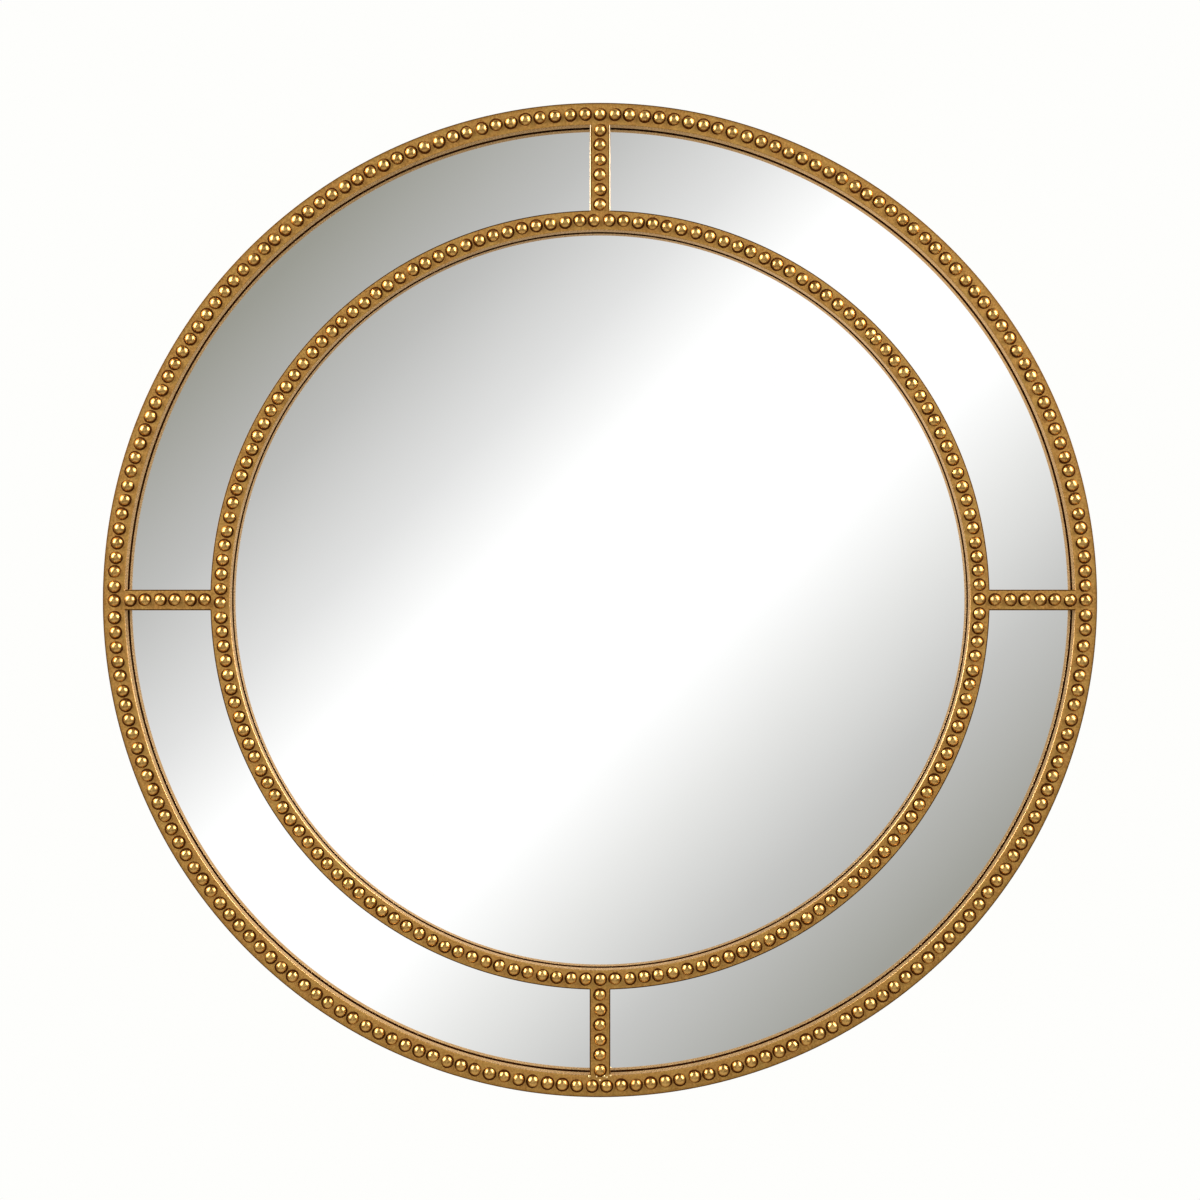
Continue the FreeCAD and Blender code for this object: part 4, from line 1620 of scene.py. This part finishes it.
@dataclass
class Hangers(SubAssembly):
    """Two strap hangers, each a strip folded double round the bar of a D-ring."""

    spread: float = 520.0 * MM
    height: float = 170.0 * MM
    width: float = 14.0 * MM
    length: float = 42.0 * MM
    sheet: float = 1.0 * MM
    fold_gap: float = 0.05 * MM
    eye_radius: float = 2.33 * MM
    wire_radius: float = 1.25 * MM
    eye_wrap: float = 235.0
    eye_steps: int = 20
    neck: tuple[Point2, ...] = ((0.45 * MM, -2.15 * MM), (-0.2 * MM, -2.75 * MM))
    neck_lift: float = 0.12 * MM
    neck_ends: tuple[float, float] = (-3.5 * MM, -4.4 * MM)
    tail_round: float = 3.0 * MM
    tail_steps: int = 8
    ring_reach: float = 8.65 * MM
    ring_arm: float = 5.0 * MM
    ring_corner: float = 1.3 * MM
    ring_lean: float = 6.0
    corner_steps: int = 6
    bow_steps: int = 28
    wire_sides: int = 16
    screw_drops: tuple[float, float] = (20.0 * MM, 35.0 * MM)
    pan_head: CrossHead = CrossHead()

    def eye(self, across_share: int) -> Vector:
        """The centre of a hanger's eye, on the left for -1 and on the right for 1."""
        return Vector((across_share * self.spread / 2, self.eye_radius, self.height))

    def sheet_line(self) -> list[Point2]:
        """The middle of the folded sheet as (y, z) from the eye's centre: up the board, round and down.

        The second layer lies on the first, one sheet further from the board.
        """
        middle = self.eye_radius - self.sheet / 2
        line = [(-middle, -self.length), (-middle, -0.5 * self.length)]
        for step in range(self.eye_steps + 1):
            turn = math.radians(180.0 - self.eye_wrap * step / self.eye_steps)
            line.append((middle * math.cos(turn), middle * math.sin(turn)))
        second = -self.eye_radius + 1.5 * self.sheet
        line += [*self.neck, (second + self.neck_lift, self.neck_ends[0]), (second, self.neck_ends[1])]
        return line + [(second, -0.5 * self.length), (second, -self.length)]

    def strap(self, name: str, across_share: int) -> bpy.types.Object:
        """One folded strap with a rounded tail.

        Args:
            name: the piece's name.
            across_share: -1 on the left and 1 on the right.

        Returns:
            The piece.
        """
        line = [Vector(spot) for spot in self.sheet_line()]
        half = self.sheet / 2 - self.fold_gap / 2
        sides: tuple[list[Vector], list[Vector]] = ([], [])
        for place, spot in enumerate(line):
            along = (line[min(place + 1, len(line) - 1)] - line[max(place - 1, 0)]).normalized()
            normal = Vector((-along.y, along.x))
            sides[0].append(spot + half * normal)
            sides[1].append(spot - half * normal)
        outline = sides[0] + sides[1][::-1]
        shell = bmesh.new()
        rows = [
            [shell.verts.new((x, spot.x, spot.y)) for spot in outline]
            for x in (-self.width / 2, self.width / 2)
        ]
        tile(shell, rows)
        bmesh.ops.recalc_face_normals(shell, faces=shell.faces)
        tail = [
            edge for edge in shell.edges
            if all(vert.co.z < -self.length + self.sheet / 2 for vert in edge.verts)
            and edge.verts[0].co.x == edge.verts[1].co.x
        ]
        round_edges(shell, tail, self.tail_round, self.tail_steps)
        bmesh.ops.translate(shell, verts=shell.verts, vec=self.eye(across_share))
        return new_piece(name, finish_mesh(name, shell), [ZINC])

    def ring_line(self) -> list[Point2]:
        """The middle of the D-ring's wire as (x, z) from the eye's centre, going round once.

        Returns:
            The points, from the bar's left end.
        """
        reach, arm, corner = self.ring_reach, self.ring_arm, self.ring_corner
        line = [((reach - corner) * share, 0.0) for share in (-1.0, -0.5, 0.0, 0.5, 1.0)]
        turns = [math.pi / 2 * step / self.corner_steps for step in range(self.corner_steps)]
        bend = [(reach - corner * (1 - math.cos(turn)), -corner * (1 - math.sin(turn))) for turn in turns]
        line += bend[::-1] + [(reach, -0.6 * arm)]
        for step in range(self.bow_steps + 1):
            turn = math.pi * step / self.bow_steps
            line.append((reach * math.cos(turn), -arm - reach * math.sin(turn)))
        return line + [(-reach, -0.6 * arm)] + [(-x, z) for x, z in bend]

    def d_ring(self, name: str, across_share: int) -> bpy.types.Object:
        """One D-ring of round wire, hanging down over its strap.

        Args:
            name: the piece's name.
            across_share: -1 on the left and 1 on the right.

        Returns:
            The piece.
        """
        line = [Vector(spot) for spot in self.ring_line()]
        shell = bmesh.new()
        lean = Matrix.Rotation(math.radians(self.ring_lean), 4, "X")
        place_ring = Matrix.Translation(self.eye(across_share)) @ lean
        rows = []
        for place, spot in enumerate(line):
            along = (line[(place + 1) % len(line)] - line[place - 1]).normalized()
            outward = Vector((-along.y, along.x))
            row = []
            for step in range(self.wire_sides):
                turn = 2 * math.pi * step / self.wire_sides
                across = self.wire_radius * math.cos(turn) * outward
                row.append(shell.verts.new(place_ring @ Vector((
                    spot.x + across.x, self.wire_radius * math.sin(turn), spot.y + across.y
                ))))
            rows.append(row)
        tile(shell, rows, closed=True)
        return new_piece(name, finish_mesh(name, shell, sharp_degrees=60.0), [ZINC])

    def build(self) -> None:
        """Makes the straps, the D-rings and the screws."""
        spots = []
        for word, share, body in (("left", -1, Body.LEFT_LOOP), ("right", 1, Body.RIGHT_LOOP)):
            strap = self.strap(f"{word}_folded_strap", share)
            self.settle(strap, Slot.ZINC, (f"{word}_hanger_strap",))
            ring = self.d_ring(f"{word}_wire_ring", share)
            self.settle(ring, Slot.ZINC, (f"{word}_d_ring",), body)
            for drop in self.screw_drops:
                spots.append(Vector((share * self.spread / 2, 2 * self.sheet, self.height - drop)))
        screws = stamp("strap_screws", self.pan_head.mesh("pan_head"), spots, ZINC, spin=math.pi / 2)
        self.settle(screws, Slot.ZINC, ("hanger_screws",))


@dataclass
class HiddenTape(SubAssembly):
    """The foam tape behind the panes, whose own solids are shown as they are."""

    nodes: tuple[str, ...] = ("centre_mirror_tape", "outer_mirror_tape")

    def build(self) -> None:
        """Gives the tape its foam."""
        for node in self.nodes:
            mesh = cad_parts[node].data
            mesh.materials.clear()
            mesh.materials.append(WHITE_FOAM.material())
            LOG.info("%s: foam", node)


# Studio


@dataclass(frozen=True)
class Shades:
    """The tones of one side of the room, from its floor to its ceiling.

    Attributes:
        level: the tone straight ahead.
        low: the tone near the floor.
        high: the tone near the ceiling.
        low_rise: the rises of a line of sight between which the low tone comes in.
        high_rise: the rises between which the high tone comes in.
    """

    level: Colour
    low: Colour
    high: Colour
    low_rise: Range
    high_rise: Range

    def seen(self, wiring: Wiring, rise: Socket) -> Socket:
        """The tone that a line of sight meets."""
        lower = wiring.mix(wiring.mapped(rise, self.low_rise, soft=True), self.level, self.low)
        return wiring.mix(wiring.mapped(rise, self.high_rise, soft=True), lower, self.high)


@dataclass
class Studio:
    """The camera, the lamps, the surroundings that metal and glass reflect, and the floor."""

    camera_distance: float = 1.3848
    lens: float = 50.0
    sensor: float = 36.0
    lamp_places: tuple[tuple[str, Point3], ...] = (
        ("left_soft_box", (-1.80, -0.74, 0.98)),
        ("right_soft_box", (1.76, -0.74, 1.06)),
    )
    lamp_width: float = 0.8
    lamp_height: float = 1.9
    lamp_watts: float = 71.0
    floor_drop: float = 1.25
    floor_radius: float = 1.5
    floor_steps: int = 96
    floor_colour: Colour = (0.44, 0.43, 0.41)
    floor_roughness: float = 0.9
    floor_gloss_share: float = 0.08
    floor_fade: Range = (0.3, 0.95)
    floor_fade_start: float = 0.35
    white: Colour = (0.991, 0.991, 0.973)
    room: Shades = Shades(
        level=(0.32, 0.31, 0.28),
        low=(0.18, 0.165, 0.13),
        high=(0.10, 0.095, 0.085),
        low_rise=(-0.1, -0.8),
        high_rise=(0.35, 0.85),
    )
    wall: Shades = Shades(
        level=(0.20, 0.19, 0.17),
        low=(0.50, 0.48, 0.43),
        high=(1.2, 1.15, 1.05),
        low_rise=(-0.2, -0.5),
        high_rise=(0.25, 0.5),
    )
    wall_range: Range = (0.02, 0.22)
    glass_range: Range = (0.80, 0.30)
    glass_reach: float = 0.32
    glass_tones: tuple[Point3, ...] = (
        (-0.276, 0.345, 0.308), (-0.192, 0.55, 0.54), (-0.12, 0.80, 0.80), (-0.066, 1.06, 1.06),
        (0.070, 1.06, 1.06), (0.12, 0.86, 0.85), (0.192, 0.59, 0.58), (0.276, 0.375, 0.345),
    )
    least_ahead: float = 0.02

    def camera(self) -> None:
        """A camera on the mirror's axis."""
        data = bpy.data.cameras.new("camera")
        data.lens = self.lens
        data.sensor_width = self.sensor
        camera = show("camera", data)
        camera.location = (0.0, -self.camera_distance, 0.0)
        camera.rotation_euler = (math.pi / 2, 0.0, 0.0)
        bpy.context.scene.camera = camera

    def lamps(self) -> None:
        """Two large soft boxes, high to the left and the right."""
        for name, place in self.lamp_places:
            data = bpy.data.lights.new(name, "AREA")
            data.shape = "RECTANGLE"
            data.size = self.lamp_width
            data.size_y = self.lamp_height
            data.energy = self.lamp_watts
            lamp = show(name, data)
            lamp.location = Vector(place)
            lamp.rotation_euler = Vector(place).to_track_quat("Z", "Y").to_euler()
            lamp.visible_camera = False

    def glass_sight(self, wiring: Wiring, way: Socket) -> tuple[Socket, Socket]:
        """What the panes reflect: a band of light across a darker room.

        Args:
            wiring: the world's nodes.
            way: the line of sight.

        Returns:
            The tone, and how far the line of sight is from the mirror's axis, as a slope.
        """
        across, back, up = wiring.split(way)
        ahead = wiring.maths("MAXIMUM", wiring.maths("MULTIPLY", back, -1.0), self.least_ahead)
        fall = wiring.maths("MULTIPLY", wiring.maths("SUBTRACT", across, up), math.sqrt(0.5))
        slant = wiring.maths("DIVIDE", fall, ahead)
        aside = wiring.maths("SQRT", wiring.maths("SUBTRACT", 1.0, wiring.maths("MULTIPLY", back, back)))
        along_band = wiring.maths("MULTIPLY_ADD", slant, 0.5 / self.glass_reach, 0.5)
        stops = tuple(
            (0.5 + 0.5 * place / self.glass_reach, (level, level, blue))
            for place, level, blue in self.glass_tones
        )
        return wiring.ramp(along_band, stops), wiring.maths("DIVIDE", aside, ahead)

    def surroundings(self) -> None:
        """White for the camera; for the rest, a room that is darker overhead and white behind the mirror."""
        world = bpy.data.worlds.new("studio")
        world.use_nodes = True
        bpy.context.scene.world = world
        wiring = Wiring(world.node_tree)
        wiring.nodes.clear()
        way = wiring.give("ShaderNodeTexCoord", "Generated")
        _, back, rise = wiring.split(way)
        by_wall = wiring.mapped(back, self.wall_range, soft=True)
        room = wiring.mix(by_wall, self.room.seen(wiring, rise), self.wall.seen(wiring, rise))
        tone, off_axis = self.glass_sight(wiring, way)
        reflected = wiring.mix(wiring.mapped(off_axis, self.glass_range, soft=True), room, tone)
        by_camera = wiring.give("ShaderNodeLightPath", "Is Camera Ray")
        shown = wiring.give("ShaderNodeBackground", Color=wiring.mix(by_camera, reflected, self.white))
        wiring.node("ShaderNodeOutputWorld", Surface=shown)

    def floor(self) -> None:
        """A pale round floor below the mirror that keeps its shadow and fades into the background."""
        shell = bmesh.new()
        bmesh.ops.create_circle(shell, cap_ends=True, segments=self.floor_steps, radius=self.floor_radius)
        mesh = bpy.data.meshes.new("floor")
        shell.to_mesh(mesh)
        shell.free()
        centre = (0.0, 0.0, -self.floor_drop)
        mesh.transform(Matrix.Translation(centre))
        graph = Graph("pale_floor")
        graph.shade(Base_Color=self.floor_colour, Roughness=self.floor_roughness)
        distance = graph.vector_maths("DISTANCE", graph.place, centre, output="Value")
        start, end = (share * self.floor_radius for share in self.floor_fade)
        fade = graph.mapped(distance, (start, end), (self.floor_fade_start, 1.0), soft=True)
        path = graph.node("ShaderNodeLightPath").outputs
        gloss, straight = path["Is Glossy Ray"], path["Is Camera Ray"]
        seen = graph.maths("MULTIPLY_ADD", gloss, self.floor_gloss_share, straight, clamp=True)
        mixed = graph.node("ShaderNodeMixShader", Fac=graph.maths("MULTIPLY", seen, fade))
        graph.feed(mixed.inputs[1], graph.shader.outputs["BSDF"])
        graph.feed(mixed.inputs[2], graph.give("ShaderNodeEmission", Color=self.white))
        graph.feed(graph.output.inputs["Surface"], mixed.outputs[0])
        mesh.materials.append(graph.material)
        floor = show("floor", mesh)

    def build(self) -> None:
        """Sets up the picture."""
        bpy.context.scene.view_settings.view_transform = "Standard"
        self.camera()
        self.lamps()
        self.surroundings()
        self.floor()


def main() -> None:
    """Builds every sub-assembly in order, then the studio."""
    logging.basicConfig(level=logging.INFO, format="%(message)s")
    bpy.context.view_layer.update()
    for part in (GiltFrame(), Beading(), Panes(), Back(), Hangers(), HiddenTape()):
        LOG.info("%s", type(part).__name__)
        part.build()
    Studio().build()


if __name__ == "__main__":
    main()
